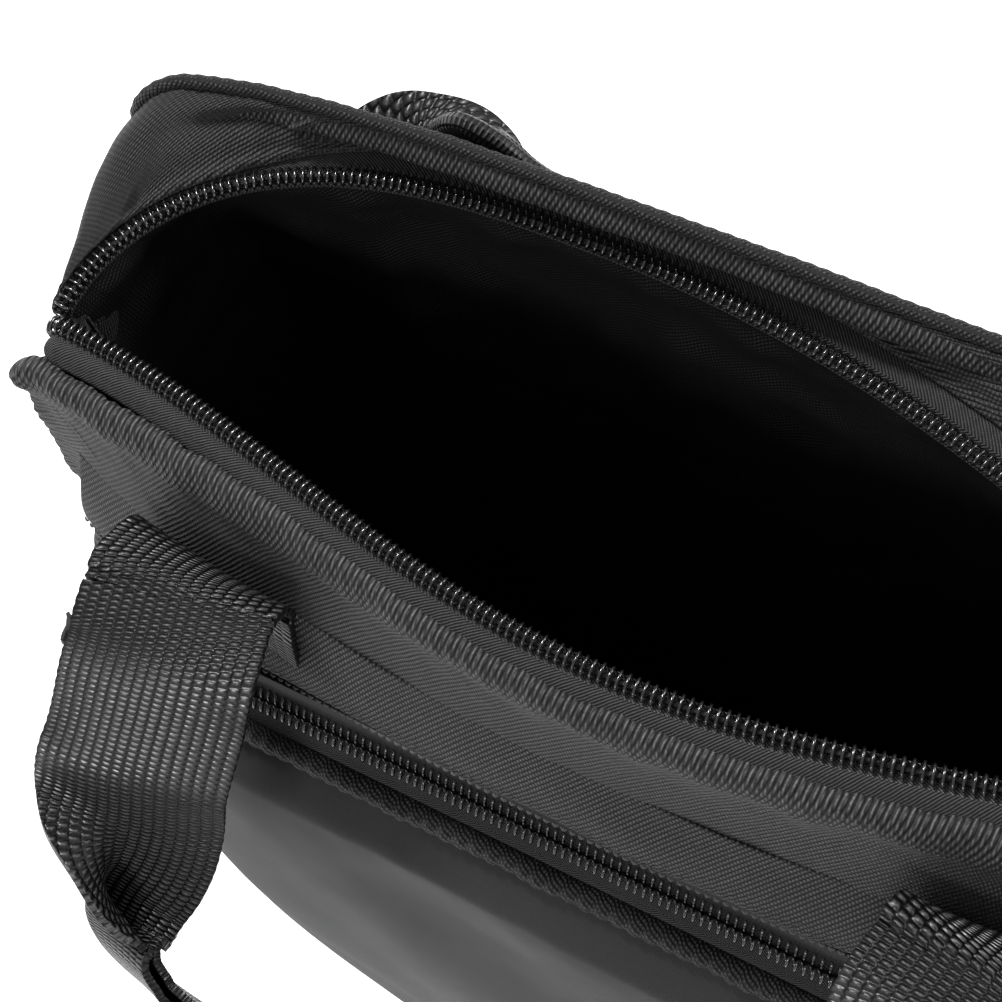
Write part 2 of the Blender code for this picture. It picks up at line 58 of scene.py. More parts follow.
LIP_END, LIP_FRONT, LIP_REAR, LIP_PEAK = -0.0125, -0.0338, 0.0480, -0.042
TURN, REAR_TURN, COIL_INSET = 0.0065, 0.006, 0.0022
END_DROP, DROP_FROM, DROP_RUN = 0.0262, 0.096, 0.062    # how the front turns back at its ends
POCKET_ZIP_Y, POCKET_ZIP_Z = -0.0600, RIM - 0.0635
POCKET_SLOPE = (-0.555, -0.832)                    # the pocket zip's way down, in y and z
POCKET_REACH, POCKET_HALF = 0.130, 0.148
POCKET_TOP, POCKET_FOOT = RIM - 0.0755, 0.014
POCKET_BASE, POCKET_DEPTH = -0.0620, 0.036
WEBBING, HANDLE_X = 0.044, 0.093
LEAVE_Z, LEAVE_OUT, FOLD_OUT, FOLD_UP = RIM - 0.019, 0.0052, 0.0120, 0.0105
REAR_FOLD_Z, REAR_HANDLE_OUT = RIM - 0.012, 0.0062

# ---------------------------------------------------------------- cloth, thread and coil sizes
SHELL_THICK, GUSSET_THICK, LINING_THICK, WEBBING_THICK = 0.0011, 0.0010, 0.0006, 0.0018
SEWN_IN = 0.0006                                   # how far a panel's edge lies inside the outer size
SEAM_PITCH = 0.0036                                # one pucker along a seam
MAIN_COIL = (0.0019, 0.0020, 0.00120, 0.00034)     # pitch, half width, half height, wire radius
POCKET_COIL = (0.0020, 0.00160, 0.00085, 0.00034)
HEM_STITCH = (0.0021, 0.0017, 0.00034)             # pitch, length and thread radius
PAD_IN, PAD_THICK = 0.0016, 0.0024                 # shell's outside to the foam; the foam
LINING_IN, LINING_END = 0.0120, 0.0075             # outside to the lining, at the panels and at the ends
END_WALL_CUT, CORNER_CUT, BASE_CUT, LINING_CUT = 0.085, 0.026, 0.105, 0.78     # widths of cut cloth
POCKET_CUT, POCKET_SIDE_CUT, POCKET_FLOOR_CUT = (0.36, 0.40), 0.032, (0.293, 0.022)
POCKET_EDGE_HALF, HEM_HALF, POCKET_FLOOR_HALF = 0.138, 0.140, 0.1465
FULL_TURN = 2 * math.pi

# ---------------------------------------------------------------- small maths


def smooth(t):
    t = np.clip(t, 0.0, 1.0)
    return t * t * (3 - 2 * t)


def mix(a, b, t):
    return a + (b - a) * t


def unit(v):
    return v / np.maximum(np.linalg.norm(v, axis=-1, keepdims=True), 1e-12)


def corner(offset, half, radius):
    """How far a rounded corner has dropped at this offset from the middle."""
    inside = np.clip(np.abs(offset) - (half - radius), 0.0, radius * 0.9995)
    return radius - np.sqrt(radius * radius - inside * inside)


def eased(u, power=0.55):
    """Samples -1..1 that crowd towards both ends."""
    return np.sign(u) * (1.0 - (1.0 - np.abs(u)) ** (1.0 / power))


def catmull(knots, count):
    """Catmull-Rom curve through rows of numbers, read at count evenly spaced parameters."""
    rows = np.array(knots, float)
    rows = np.vstack([2 * rows[0] - rows[1], rows, 2 * rows[-1] - rows[-2]])
    t = np.linspace(0, len(knots) - 1, count)
    k = np.minimum(t.astype(int), len(knots) - 2)
    t = (t - k)[:, None]
    a, b, c, d = rows[k], rows[k + 1], rows[k + 2], rows[k + 3]
    return 0.5 * (2 * b + (c - a) * t + (2 * a - 5 * b + 4 * c - d) * t ** 2
                  + (3 * b - a - 3 * c + d) * t ** 3)


def together(*numbers):
    """Numbers or arrays of them as one array of coordinates."""
    return np.stack(np.broadcast_arrays(*numbers), axis=-1)


def arc_length(points):
    steps = np.linalg.norm(np.diff(points, axis=0), axis=1)
    return np.concatenate([[0.0], np.cumsum(steps)])


def read_at(table, lengths, where):
    """Rows of a table known at given lengths, read at other lengths."""
    return np.stack([np.interp(where, lengths, table[:, i]) for i in range(table.shape[1])], axis=1)


def waves(u, v, wavelength, seed, count=7):
    """Smooth, seeded ripples of about unit height over two coordinates in metres."""
    draw = np.random.default_rng(seed)
    total = np.zeros(np.broadcast(u, v).shape)
    for _ in range(count):
        angle, phase = draw.uniform(0, math.pi), draw.uniform(0, FULL_TURN)
        k = FULL_TURN / (wavelength * draw.uniform(0.6, 1.6))
        total = total + np.sin(k * (u * math.cos(angle) + v * math.sin(angle)) + phase)
    return total / math.sqrt(count)


# ---------------------------------------------------------------- meshes


def grid_object(name, points, cloth, closed=False, flip=False):
    """A quad grid of points (rows, columns, 3); cloth holds each point's place in its own weave."""
    rows, columns = points.shape[:2]
    wide = columns if closed else columns - 1
    i, j = np.meshgrid(np.arange(rows - 1), np.arange(wide), indexing="ij")
    after = (j + 1) % columns
    quads = together(i * columns + j, i * columns + after, (i + 1) * columns + after,
                     (i + 1) * columns + j).reshape(-1, 4)
    if flip:
        quads = quads[:, ::-1]
    return mesh_object(name, points.reshape(-1, 3), quads, cloth.reshape(-1, cloth.shape[-1]))


def mesh_object(name, points, quads, cloth):
    mesh = bpy.data.meshes.new(name)
    mesh.vertices.add(len(points))
    mesh.vertices.foreach_set("co", points.astype(np.float32).ravel())
    mesh.loops.add(quads.size)
    mesh.loops.foreach_set("vertex_index", quads.astype(np.int32).ravel())
    mesh.polygons.add(len(quads))
    mesh.polygons.foreach_set("loop_start", np.arange(0, quads.size, 4, dtype=np.int32))
    mesh.update(calc_edges=True)
    mesh.validate()
    mesh.shade_smooth()
    place = np.zeros((len(points), 3), np.float32)
    place[:, :cloth.shape[1]] = cloth
    weave = mesh.attributes.new("cloth", "FLOAT_VECTOR", "POINT")
    weave.data.foreach_set("vector", place.ravel())
    made = bpy.data.objects.new(name, mesh)
    bpy.context.scene.collection.objects.link(made)
    return made


def thicken(piece, thickness, offset=-1.0):
    solid = piece.modifiers.new("thickness", "SOLIDIFY")
    solid.thickness = thickness
    solid.offset = offset
    return piece


def paint(piece, material, body, slot, *nodes):
    piece.data.materials.clear()
    piece.data.materials.append(material)
    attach(piece, body)
    if nodes:
        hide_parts(*nodes)
    return piece


def cloth_of(points):
    """Weave coordinates of a grid: distances along its columns' and its rows' directions."""
    across = np.linalg.norm(np.diff(points, axis=1), axis=-1)
    down = np.linalg.norm(np.diff(points, axis=0), axis=-1)
    u = np.concatenate([np.zeros((points.shape[0], 1)), np.cumsum(across, axis=1)], axis=1)
    v = np.concatenate([np.zeros((1, points.shape[1])), np.cumsum(down, axis=0)], axis=0)
    return together(u, v)


def ring_tube(name, path, radius, sides, up=(0, 0, 1)):
    """A closed tube along a path, with the weave running round it, of one radius or one for each."""
    along = unit(np.gradient(path, axis=0))
    side = unit(np.cross(along, np.broadcast_to(np.array(up, float), along.shape)))
    lift = np.cross(side, along)
    angle = np.linspace(0, FULL_TURN, sides, endpoint=False)
    radius = np.broadcast_to(radius, len(path))[:, None, None]
    points = (path[:, None] + side[:, None] * (np.cos(angle)[None, :, None] * radius)
              + lift[:, None] * (np.sin(angle)[None, :, None] * radius))
    cap_a = np.repeat(path[:1][:, None], sides, axis=1)
    cap_b = np.repeat(path[-1:][:, None], sides, axis=1)
    points = np.concatenate([cap_a, points, cap_b])
    lengths = arc_length(path)
    lengths = np.concatenate([lengths[:1], lengths, lengths[-1:]])
    cloth = together(lengths[:, None], angle[None] * float(np.mean(radius)))
    return welded(grid_object(name, points, cloth, closed=True), "caps")


def welded(piece, name, distance=1e-6):
    """Join the points that meet at a tube's caps or in a panel's middle."""
    piece.modifiers.new(name, "WELD").merge_threshold = distance
    return piece


# ---------------------------------------------------------------- materials


class Graph:
    """A Principled material whose nodes are made by short calls."""

    def __init__(self, name, roughness, metallic=0.0, specular=0.5, sheen=0.0, coat=0.0):
        self.material = bpy.data.materials.new(name)
        self.material.use_nodes = True
        self.tree = self.material.node_tree
        self.shader = self.tree.nodes["Principled BSDF"]
        values = {"Roughness": roughness, "Metallic": metallic, "Specular IOR Level": specular,
                  "Sheen Weight": sheen, "Sheen Roughness": 0.4, "Coat Weight": coat}
        for socket, value in values.items():
            self.shader.inputs[socket].default_value = value

    def node(self, kind, **values):
        made = self.tree.nodes.new(kind)
        for key, value in values.items():
            setattr(made, key, value)
        return made

    def feed(self, socket, value):
        if isinstance(value, bpy.types.NodeSocket):
            self.tree.links.new(value, socket)
        else:
            socket.default_value = value

    def math(self, operation, *values):
        made = self.node("ShaderNodeMath", operation=operation)
        for socket, value in zip(made.inputs, values):
            self.feed(socket, value)
        return made.outputs[0]

    def add(self, a, b):
        return self.math("ADD", a, b)

    def times(self, a, b):
        return self.math("MULTIPLY", a, b)

    def cloth(self):
        place = self.node("ShaderNodeAttribute", attribute_name="cloth")
        split = self.node("ShaderNodeSeparateXYZ")
        self.feed(split.inputs[0], place.outputs["Vector"])
        return split.outputs[0], split.outputs[1], split.outputs[2]

    def place(self):
        return self.node("ShaderNodeTexCoord").outputs["Object"]

    def noise(self, scale, detail=2.0):
        made = self.node("ShaderNodeTexNoise")
        self.feed(made.inputs["Vector"], self.place())
        made.inputs["Scale"].default_value = scale
        made.inputs["Detail"].default_value = detail
        return made.outputs[0]

    def wave(self, phase):
        """0..1, one period for each unit of phase."""
        turn = self.math("SINE", self.times(phase, FULL_TURN))
        return self.math("MULTIPLY_ADD", turn, 0.5, 0.5)

    def range(self, value, low, high, to_low=0.0, to_high=1.0):
        made = self.node("ShaderNodeMapRange")
        for socket, number in zip(made.inputs, (value, low, high, to_low, to_high)):
            self.feed(socket, number)
        return made.outputs[0]

    def colour(self, factor, dark, light):
        made = self.node("ShaderNodeMix", data_type="RGBA")
        self.feed(made.inputs[0], factor)
        made.inputs[6].default_value = (*dark, 1)
        made.inputs[7].default_value = (*light, 1)
        self.tree.links.new(made.outputs[2], self.shader.inputs["Base Color"])

    def bump(self, height, depth):
        made = self.node("ShaderNodeBump")
        made.inputs["Distance"].default_value = depth
        self.feed(made.inputs["Height"], height)
        self.tree.links.new(made.outputs[0], self.shader.inputs["Normal"])

    def rough(self, value):
        self.feed(self.shader.inputs["Roughness"], value)


def grey(value, blue=1.04):
    return (value, value, value * blue)


def woven(name, dark, light, pitch, angle, depth, roughness, sheen=0.0, stretch=1.0, rib=0.5):
    """Polyester woven in ribs: rows of small beads, each row half a bead off the next."""
    g = Graph(name, roughness, specular=0.40, sheen=sheen)
    u, v, _ = g.cloth()
    c, s = math.cos(angle) / pitch, math.sin(angle) / pitch
    row = g.add(g.times(u, -s), g.times(v, c))
    offset = g.times(g.math("FLOOR", row), 0.5)
    bead = g.add(g.add(g.times(u, c * stretch), g.times(v, s * stretch)), offset)
    line = g.math("SINE", g.times(g.math("FRACT", row), math.pi))
    weave = g.times(g.math("POWER", line, 0.9), g.range(g.wave(bead), 0.0, 1.0, rib, 1.0))
    fibre = g.noise(1400.0, 2.0)
    mottle = g.noise(38.0, 3.0)
    height = g.add(g.times(weave, 0.85), g.times(fibre, 0.25))
    # Colour lighter on each bead's crown and darker in the gaps, as the bump rises and falls: painted
    # highlight and painted shade, scaled by a random fibre tone.
    fibre_tone_and_painted_highlight = g.times(g.math("POWER", weave, 2.6), g.range(fibre, 0.3, 0.7, 0.45, 1.2))
    g.colour(g.times(fibre_tone_and_painted_highlight, g.range(mottle, 0.3, 0.7, 0.80, 1.1)), dark, light)
    g.rough(g.range(mottle, 0.2, 0.8, roughness - 0.06, roughness + 0.06))
    g.bump(height, depth)
    return g.material


def webbing_material():
    """Polypropylene webbing: columns of glossy floats, each column half a row off the next."""
    g = Graph("webbing_weave", 0.42, specular=0.45)
    u, v, _ = g.cloth()
    column, row = 0.0026, 0.00125
    across = g.times(u, 1 / column)
    inside = g.math("FRACT", across)
    odd = g.math("MODULO", g.math("FLOOR", across), 2.0)
    phase = g.add(g.add(g.times(v, 1 / row), g.times(odd, 0.5)), g.times(inside, 0.22))
    float_ = g.math("POWER", g.wave(phase), 0.8)
    crown = g.math("POWER", g.math("SINE", g.times(inside, math.pi)), 0.55)
    weave = g.times(float_, crown)
    fibre = g.noise(1800.0, 2.0)
    wear = g.noise(60.0, 3.0)
    height = g.add(weave, g.times(fibre, 0.12))
    # Colour near black in the gaps and lighter on each float's crown, as the bump rises: a painted
    # highlight, scaled by a random fibre tone.
    fibre_tone_and_painted_highlight = g.times(g.math("POWER", weave, 3.0), g.range(fibre, 0.35, 0.65, 0.35, 1.3))
    g.colour(g.times(fibre_tone_and_painted_highlight, g.range(wear, 0.3, 0.7, 0.8, 1.1)), grey(0.0010), grey(0.095))
    g.rough(g.range(fibre, 0.3, 0.7, 0.28, 0.44))
    g.bump(height, 0.00060)
    return g.material


def tape_material(middle, name="zip_tape_herringbone"):
    """Zip tape: herringbone whose ribs turn over along the tape's middle."""
    g = Graph(name, 0.8, specular=0.3, sheen=0.15)
    u, v, _ = g.cloth()
    off = g.math("ABSOLUTE", g.math("SUBTRACT", v, middle))
    rib = g.wave(g.times(g.add(u, g.times(off, 1.15)), 1 / 0.00088))
    thread = g.wave(g.times(v, 1 / 0.00040))
    fibre = g.noise(1600.0, 2.0)
    height = g.add(rib, g.add(g.times(thread, 0.2), g.times(fibre, 0.25)))
    # Colour lighter on each rib's crown, as the bump rises: a painted highlight, scaled by a random fibre
    # tone.
    fibre_tone_and_painted_highlight = g.times(g.math("POWER", rib, 1.3), g.range(fibre, 0.3, 0.7, 0.6, 1.1))
    g.colour(fibre_tone_and_painted_highlight, grey(0.001), grey(0.075))
    g.bump(height, 0.00040)
    return g.material


def nylon_material():
    g = Graph("coil_nylon", 0.20, specular=0.9, coat=0.6)
    g.colour(g.range(g.noise(900.0), 0.35, 0.65), grey(0.004), grey(0.012))
    g.rough(g.range(g.noise(400.0), 0.3, 0.7, 0.14, 0.26))
    return g.material


def metal_material():
    g = Graph("black_nickel", 0.32, metallic=1.0)
    wear = g.noise(260.0, 3.0)
    g.colour(g.range(wear, 0.45, 0.75), grey(0.045), grey(0.16))
    g.rough(g.range(wear, 0.3, 0.7, 0.24, 0.42))
    g.bump(g.noise(1500.0), 0.00002)
    return g.material


def thread_material():
    g = Graph("sewing_thread", 0.6, specular=0.4, sheen=0.2)
    u, v, _ = g.cloth()
    ply = g.wave(g.times(g.add(u, v), 1 / 0.0005))
    # Colour lighter on each ply's crown, where the bump rises: a painted highlight.
    g.colour(ply, grey(0.015), grey(0.130))
    g.bump(ply, 0.00006)
    return g.material


def foam_material():
    g = Graph("foam", 0.95, specular=0.2)
    cells = g.noise(1100.0, 4.0)
    g.colour(cells, grey(0.05), grey(0.14))
    g.bump(cells, 0.0003)
    return g.material


# In each woven cloth below, the bead crowns are painted towards the light grey as a highlight and the gaps
# towards the dark grey as shade.
SHELL = woven("oxford_shell", grey(0.0015), grey(0.150), 0.00098, 0.79, 0.00060, 0.60, 0.06, 1.15)
GUSSET = woven("oxford_gusset", grey(0.0015), grey(0.085), 0.00105, 0.30, 0.00060, 0.60, 0.06, 1.0)
POCKET = woven("pocket_cloth", grey(0.020), grey(0.036), 0.00060, 0.70, 0.00005, 0.70, 0.05, 1.0, 0.8)
# The lining is black cloth, made darker still as painted shade for the bag's dim inside; the pocket's upper
# tape and the coils' core cords wear it as painted shade too.
LINING_AND_PAINTED_SHADE = woven("lining_cloth_and_painted_shade", grey(0.0008), grey(0.014), 0.00095, 0.60, 0.00035, 0.65, 0.0)
ROLL = woven("rolled_edge", grey(0.0015), grey(0.085), 0.00095, 0.62, 0.00055, 0.60, 0.06)
BINDING = woven("welt_binding", grey(0.0015), grey(0.070), 0.00095, 0.9, 0.00050, 0.62, 0.06)
WEB = webbing_material()
TAPE_CLOTH = tape_material(0.0050)
NYLON = nylon_material()
METAL = metal_material()
THREAD = thread_material()
FOAM = foam_material()

# ---------------------------------------------------------------- the bag's surfaces, as in the CAD


def front_lip(x):
    return LIP_FRONT + (LIP_END - LIP_FRONT) * smooth(np.abs(x) / MOUTH_HALF) ** 1.1


def rear_lip(turn):
    u, rise = np.abs(np.cos(turn)), np.sin(turn)
    left = turn < math.pi / 2
    x = np.where(left, LIP_PEAK - (LIP_PEAK + REAR_LIP_HALF) * u ** 0.69,
                 LIP_PEAK + (REAR_LIP_HALF - LIP_PEAK) * u)
    y = np.where(left, mix(LIP_END + REAR_TURN, LIP_REAR, rise),
                 mix(LIP_END + 0.50 * REAR_TURN, LIP_REAR, rise * rise))
    return x, y


def crown(x, z):
    return BULGE * (1 - (x / HALF) ** 2) * np.sin(math.pi * np.clip(z / RIM, 0, 1)) ** 0.5


def end_drop(x):
    """How far the padded front turns back towards its ends, above the pocket."""
    return END_DROP * (np.clip(np.abs(x) - DROP_FROM, 0, DROP_RUN) / DROP_RUN) ** 1.5


def front_face(x, z):
    turned = (corner(x, HALF, FRONT_CORNER) ** 4 + end_drop(x) ** 4 + 1e-16) ** 0.25
    body = -FRONT - crown(x, z) + mix(corner(x, HALF, FRONT_CORNER), turned, smooth((z - 0.345) / 0.028))
    lean = np.clip((z - (RIM - LEAN)) / LEAN, 0, 1) ** 3
    seam = 0.0062 + 0.0036 * smooth((np.abs(x) - 0.070) / 0.080)
    return mix(body, front_lip(x) - seam, lean)


def rear_face(x, z):
    return REAR + crown(x, z) - corner(x, HALF, REAR_CORNER)


def pocket_face(x, z):
    along = np.clip(1 - (np.abs(x) / (POCKET_HALF + 0.002)) ** 4, 0, 1) ** 0.5
    up = np.clip((z - POCKET_FOOT) / (POCKET_TOP - POCKET_FOOT), 0, 1)
    fill = 0.24 + 0.76 * np.sin(math.pi * up ** 0.92) ** 0.6
    return POCKET_BASE - 0.002 - POCKET_DEPTH * along * fill


def turned_down(end, heading, radius):
    run = []
    for step in range(1, 5):
        angle = step * math.pi / 8
        drop = radius * (1 - math.cos(angle))
        run.append([*(end[:2] + heading[:2] * radius * math.sin(angle)), end[2] - drop])
    foot = run[-1]
    for step in range(1, 6):
        x = mix(foot[0], math.copysign(MOUTH_HALF, foot[0]), min(1.0, step / 2))
        run.append([x, LIP_END, mix(foot[2], RIM - SLIT, step / 5)])
    return np.array(run)


def lip_path(x, y, radius):
    """A lip's whole run: up one end wall, along the mouth, down the other."""
    top = together(x, y, RIM)
    left = turned_down(top[0], unit(top[0] - top[1]), radius)
    right = turned_down(top[-1], unit(top[-1] - top[-2]), radius)
    return np.vstack([left[::-1], top, right])


def zip_frames(side, step):
    """Centre, outward way and skin normal along one coil, at even steps."""
    if side == "front":
        x = np.linspace(TURN - MOUTH_HALF, MOUTH_HALF - TURN, 28)
        run, sign = lip_path(x, front_lip(x), TURN), -1
    else:
        x, y = rear_lip(np.linspace(0, math.pi, 28))
        run, sign = lip_path(x, y, REAR_TURN), 1
    dense = catmull(run, 1400)
    lengths = arc_length(dense)
    path = read_at(dense, lengths, np.arange(0, lengths[-1], step))
    for _ in range(3):
        path[1:-1] = (path[:-2] + 2 * path[1:-1] + path[2:]) / 4
    along = unit(np.gradient(path, axis=0))
    upright = np.clip(np.abs(along[:, 2:]) * 2.5 - 1.5, 0, 1)
    level = unit(together(-along[:, 1], along[:, 0], 0.0)) * sign
    out = unit(level * (1 - upright) + np.array([0, sign, 0]) * upright)
    normal = unit(np.cross(along, out)) * sign
    out = unit(np.cross(normal, along)) * sign
    return path + out * (COIL_INSET if side == "rear" else 0.0002), out, normal, sign


# ---------------------------------------------------------------- main zip


def coil_mesh(name, path, out, normal, pitch, half_width, half_height, wire):
    """A flattened monofilament helix: straight across on top, stepping on underneath."""
    lengths = arc_length(path)
    turns = int(lengths[-1] / pitch) - 1
    steps = 16
    phase = np.arange(turns * steps + 1) / steps * FULL_TURN
    where = pitch * (phase / FULL_TURN + 0.159 * np.cos(phase)) + pitch / 2
    base, o, n = (read_at(table, lengths, where) for table in (path, out, normal))
    width = -np.cos(phase)[:, None] * half_width
    height = np.sin(phase)[:, None] * half_height
    centre = base + o * width + n * height
    along = unit(np.gradient(centre, axis=0))
    radial = unit(o * -np.cos(phase)[:, None] + n * np.sin(phase)[:, None] * 1.4)
    radial = unit(radial - along * np.sum(radial * along, axis=1, keepdims=True))
    third = np.cross(along, radial)
    sides = 7
    angle = np.linspace(0, FULL_TURN, sides, endpoint=False)
    radius = wire * (1.0 + 0.22 * np.clip(np.cos(phase), 0, 1))[:, None, None]
    points = (centre[:, None] + radial[:, None] * np.cos(angle)[None, :, None] * radius
              + third[:, None] * np.sin(angle)[None, :, None] * radius)
    ends = [np.repeat(centre[k][None, None], sides, axis=1) for k in (0, -1)]
    points = np.concatenate([ends[0], points, ends[1]])
    cloth = np.zeros(points.shape[:2] + (2,))
    return welded(grid_object(name, points, cloth, closed=True), "caps")


def strip(name, path, out, normal, profile, thickness, flip=False, wobble=None, spread=1.0):
    """A band with a constant cross-section, given as distances out and up from its path."""
    profile = catmull(profile, 4 * len(profile))
    reach = np.maximum(profile[None, :, :1] - 0.0022, 0) * (1 - np.reshape(spread, (-1, 1, 1)))
    points = (path[:, None] + out[:, None] * (profile[None, :, :1] - reach)
              + normal[:, None] * profile[None, :, 1:])
    along, across = arc_length(path)[:, None], arc_length(profile)[None]
    if wobble is not None:
        points = points + normal[:, None] * wobble(along, across)[..., None]
    cloth = together(along, across)
    return thicken(grid_object(name, points, cloth, flip=flip), thickness, 0.0)


def main_zip():
    for side in ("front", "rear"):
        path, out, normal, sign = zip_frames(side, 0.0008)
        coil = coil_mesh(f"{side}_coil", path, out, normal, *MAIN_COIL)
        paint(coil, NYLON, "bag", "coil", f"{side}_zip_coil")
        # The core cord, in the near-black lining cloth, is painted shade for the dark inside of the coil.
        core = ring_tube(f"{side}_coil_core", path[4:-4] - normal[4:-4] * 0.0002, 0.0006, 6)
        paint(core, LINING_AND_PAINTED_SHADE, "bag", "coil")
        tape_profile = [(-0.0019, -0.0014), (0.0, -0.0016), (0.0022, -0.0013), (0.0038, -0.0008),
                        (0.0056, -0.0012), (0.0078, -0.0034)]
        spread = 1.0
        if side == "rear":
            tape_profile[-2:] = [(0.0070, -0.0009), (0.0115, -0.0018)]
            spread = 0.12 + 0.88 * smooth((0.136 - np.abs(path[:, 0])) / 0.040)

        def ripple(along, across):
            return 0.00012 * np.sin(FULL_TURN * along / SEAM_PITCH) * smooth((across - 0.005) / 0.003)

        tape = strip(f"{side}_tape", path, out, normal, tape_profile, 0.0006, flip=sign > 0, wobble=ripple,
                     spread=spread)
        paint(tape, TAPE_CLOTH, "bag", "tape", f"{side}_zip_tape")


# ---------------------------------------------------------------- panels


def rounded_outline(half, low, high, top_radius, foot_radius, step, inside=0.0):
    """A closed rounded rectangle in x and z, run from the foot's middle to the right."""
    counts = [int(size / step) + 1 for size in
              (half - foot_radius, foot_radius * math.pi / 2, high - low - top_radius - foot_radius,
               top_radius * math.pi / 2, 2 * (half - top_radius), top_radius * math.pi / 2,
               high - low - top_radius - foot_radius, foot_radius * math.pi / 2, half - foot_radius)]
    top, foot = (max(radius - inside, 0.002) for radius in (top_radius, foot_radius))
    half, low, high = half - inside, low + inside, high - inside
    corners = [(half - foot, low + foot, foot, -90), (half - top, high - top, top, 0),
               (top - half, high - top, top, 90), (foot - half, low + foot, foot, 180)]
    run, last = [], np.array([0.0, low])
    for k, (x, z, radius, start) in enumerate(corners):
        angle = np.radians(start + 90 * np.arange(counts[2 * k + 1] + 1) / counts[2 * k + 1])
        arc = together(x + radius * np.cos(angle), z + radius * np.sin(angle))
        run += [mix(last, arc[0], np.arange(counts[2 * k])[:, None] / counts[2 * k]), arc[:-1]]
        last = arc[-1]
    run.append(mix(last, np.array([0.0, low]), np.arange(counts[8])[:, None] / counts[8]))
    return np.vstack(run)


def mouth_share(points, high, radius):
    """1 along a panel's top edge and 0 down its sides, turning over through the corners."""
    return smooth((points[:, 1] - (high - radius * 1.6)) / (radius * 1.2))


def ringed_panel(name, face, half, low, high, radii, profiles, stitch, step, seed, fill_rows=26):
    """A sewn panel as rings that follow its outline.  Each profile row is (inside, proud)."""
    points = rounded_outline(half, low, high, *radii, step)
    along = arc_length(points)
    share = mouth_share(points, high, radii[0])[:, None]
    top, side = (catmull(rows, 30) for rows in profiles)
    inside = mix(side[None, :, 0], top[None, :, 0], share)
    proud = mix(side[None, :, 1], top[None, :, 1], share)
    ring = np.stack([mix(rounded_outline(half, low, high, *radii, step, side_in),
                         rounded_outline(half, low, high, *radii, step, top_in), share)
                     for side_in, top_in in zip(side[:, 0], top[:, 0])], axis=1)
    pivot = together(0.0, np.clip(points[:, 1], low + half, high - half))
    share_in = np.linspace(0, 1, fill_rows + 1)[1:] ** 1.1
    last = ring[:, -1]
    filled = last[:, None] + (pivot - last)[:, None] * share_in[None, :, None]
    ring = np.concatenate([ring, filled], axis=1)
    proud = np.concatenate([proud, proud[:, -1:] * (1 - smooth(share_in * 3))[None]], axis=1)
    reach = np.linalg.norm(filled - points[:, None], axis=-1)
    away = np.concatenate([np.maximum(inside, 0), reach], axis=1)
    x, z = ring[..., 0], ring[..., 1]
    pucker = gathers(along[:, None], away, stitch, seed) * smooth((away + 0.0004) / 0.0012)
    out = face(x, z, proud + pucker)
    points_3d = together(x, out, z)
    cloth = ring - together(0.0, 0.0055 * np.exp(-away / 0.008))
    made = grid_object(name, points_3d.transpose(1, 0, 2), cloth.transpose(1, 0, 2), closed=True)
    return welded(made, "middle", 1e-5)


def gathers(along, distance, size, seed=3):
    """Puckers that a seam draws into a panel's edge."""
    slow = 0.9 * waves(along, along * 0, 0.03, seed)
    stitch = np.sin(FULL_TURN * (along / SEAM_PITCH + distance / 0.009) + slow)
    wide = waves(along, distance, 0.014, seed + 2)
    return size * stitch * np.exp(-distance / 0.0042) + size * 1.2 * wide * np.exp(-distance / 0.014)


def face_outward(piece, way):
    """Turn every face of a sheet so that, taken together, they look this way."""
    mesh = piece.data
    normals = np.zeros(len(mesh.polygons) * 3, np.float32)
    areas = np.zeros(len(mesh.polygons), np.float32)
    mesh.polygons.foreach_get("normal", normals)
    mesh.polygons.foreach_get("area", areas)
    if (normals.reshape(-1, 3) * areas[:, None]).sum(axis=0) @ np.array(way, float) < 0:
        mesh.flip_normals()
    return piece


FRONT_ROLL = [(0.0065, -0.0040), (0.0034, -0.0026), (0.0016, -0.0014), (0.0005, 0.0006), (0.0004, 0.0026),
              (0.0024, 0.0038), (0.0056, 0.0034), (0.0090, 0.0018), (0.0135, 0.0006), (0.0190, 0.0)]
SIDE_ROLL = [(0.0040, -0.0050), (0.0016, -0.0036), (0.0004, -0.0016), (0.0001, 0.0002), (0.0010, 0.0012),
             (0.0034, 0.0012), (0.0070, 0.0004), (0.0110, 0.0), (0.0160, 0.0)]


def front_shell():
    def face(x, z, proud):
        return front_face(x, z) - proud - 0.0005 * waves(x, z, 0.07, 11)
    panel = ringed_panel("front_shell", face, HALF - SEWN_IN, 0.0030, RIM - 0.0004, (0.009, 0.012),
                         (FRONT_ROLL, SIDE_ROLL), 0.00040, 0.0007, 3)
    face_outward(panel, (0, -1, 0))
    thicken(panel, SHELL_THICK)
    paint(panel, SHELL, "bag", "shell", "front_panel", "front_rolled_edge")
    declare_sheet(panel, 2 * HALF, RIM, "stretched")


def rear_shell():
    def face(x, z, proud):
        return rear_skin(x, z) + proud + 0.0006 * waves(x, z, 0.08, 21)
    panel = ringed_panel("rear_shell", face, HALF - SEWN_IN, 0.0030, RIM + WELT_RISE + 0.0015,
                         (0.018, 0.012), (SIDE_ROLL, SIDE_ROLL), 0.00020, 0.0012, 5)
    face_outward(panel, (0, 1, 0))
    thicken(panel, SHELL_THICK)
    paint(panel, SHELL, "bag", "shell", "rear_panel")
    declare_sheet(panel, 2 * HALF, RIM + WELT_RISE, "stretched")


def declare_sheet(piece, width, length, held, rests_on=()):
    """Reads the piece's face areas and rounds width and length; nothing is kept, set or returned."""
    areas = np.zeros(len(piece.data.polygons), np.float32)
    piece.data.polygons.foreach_get("area", areas)
    width, length = round(width, 4), round(length, 4)


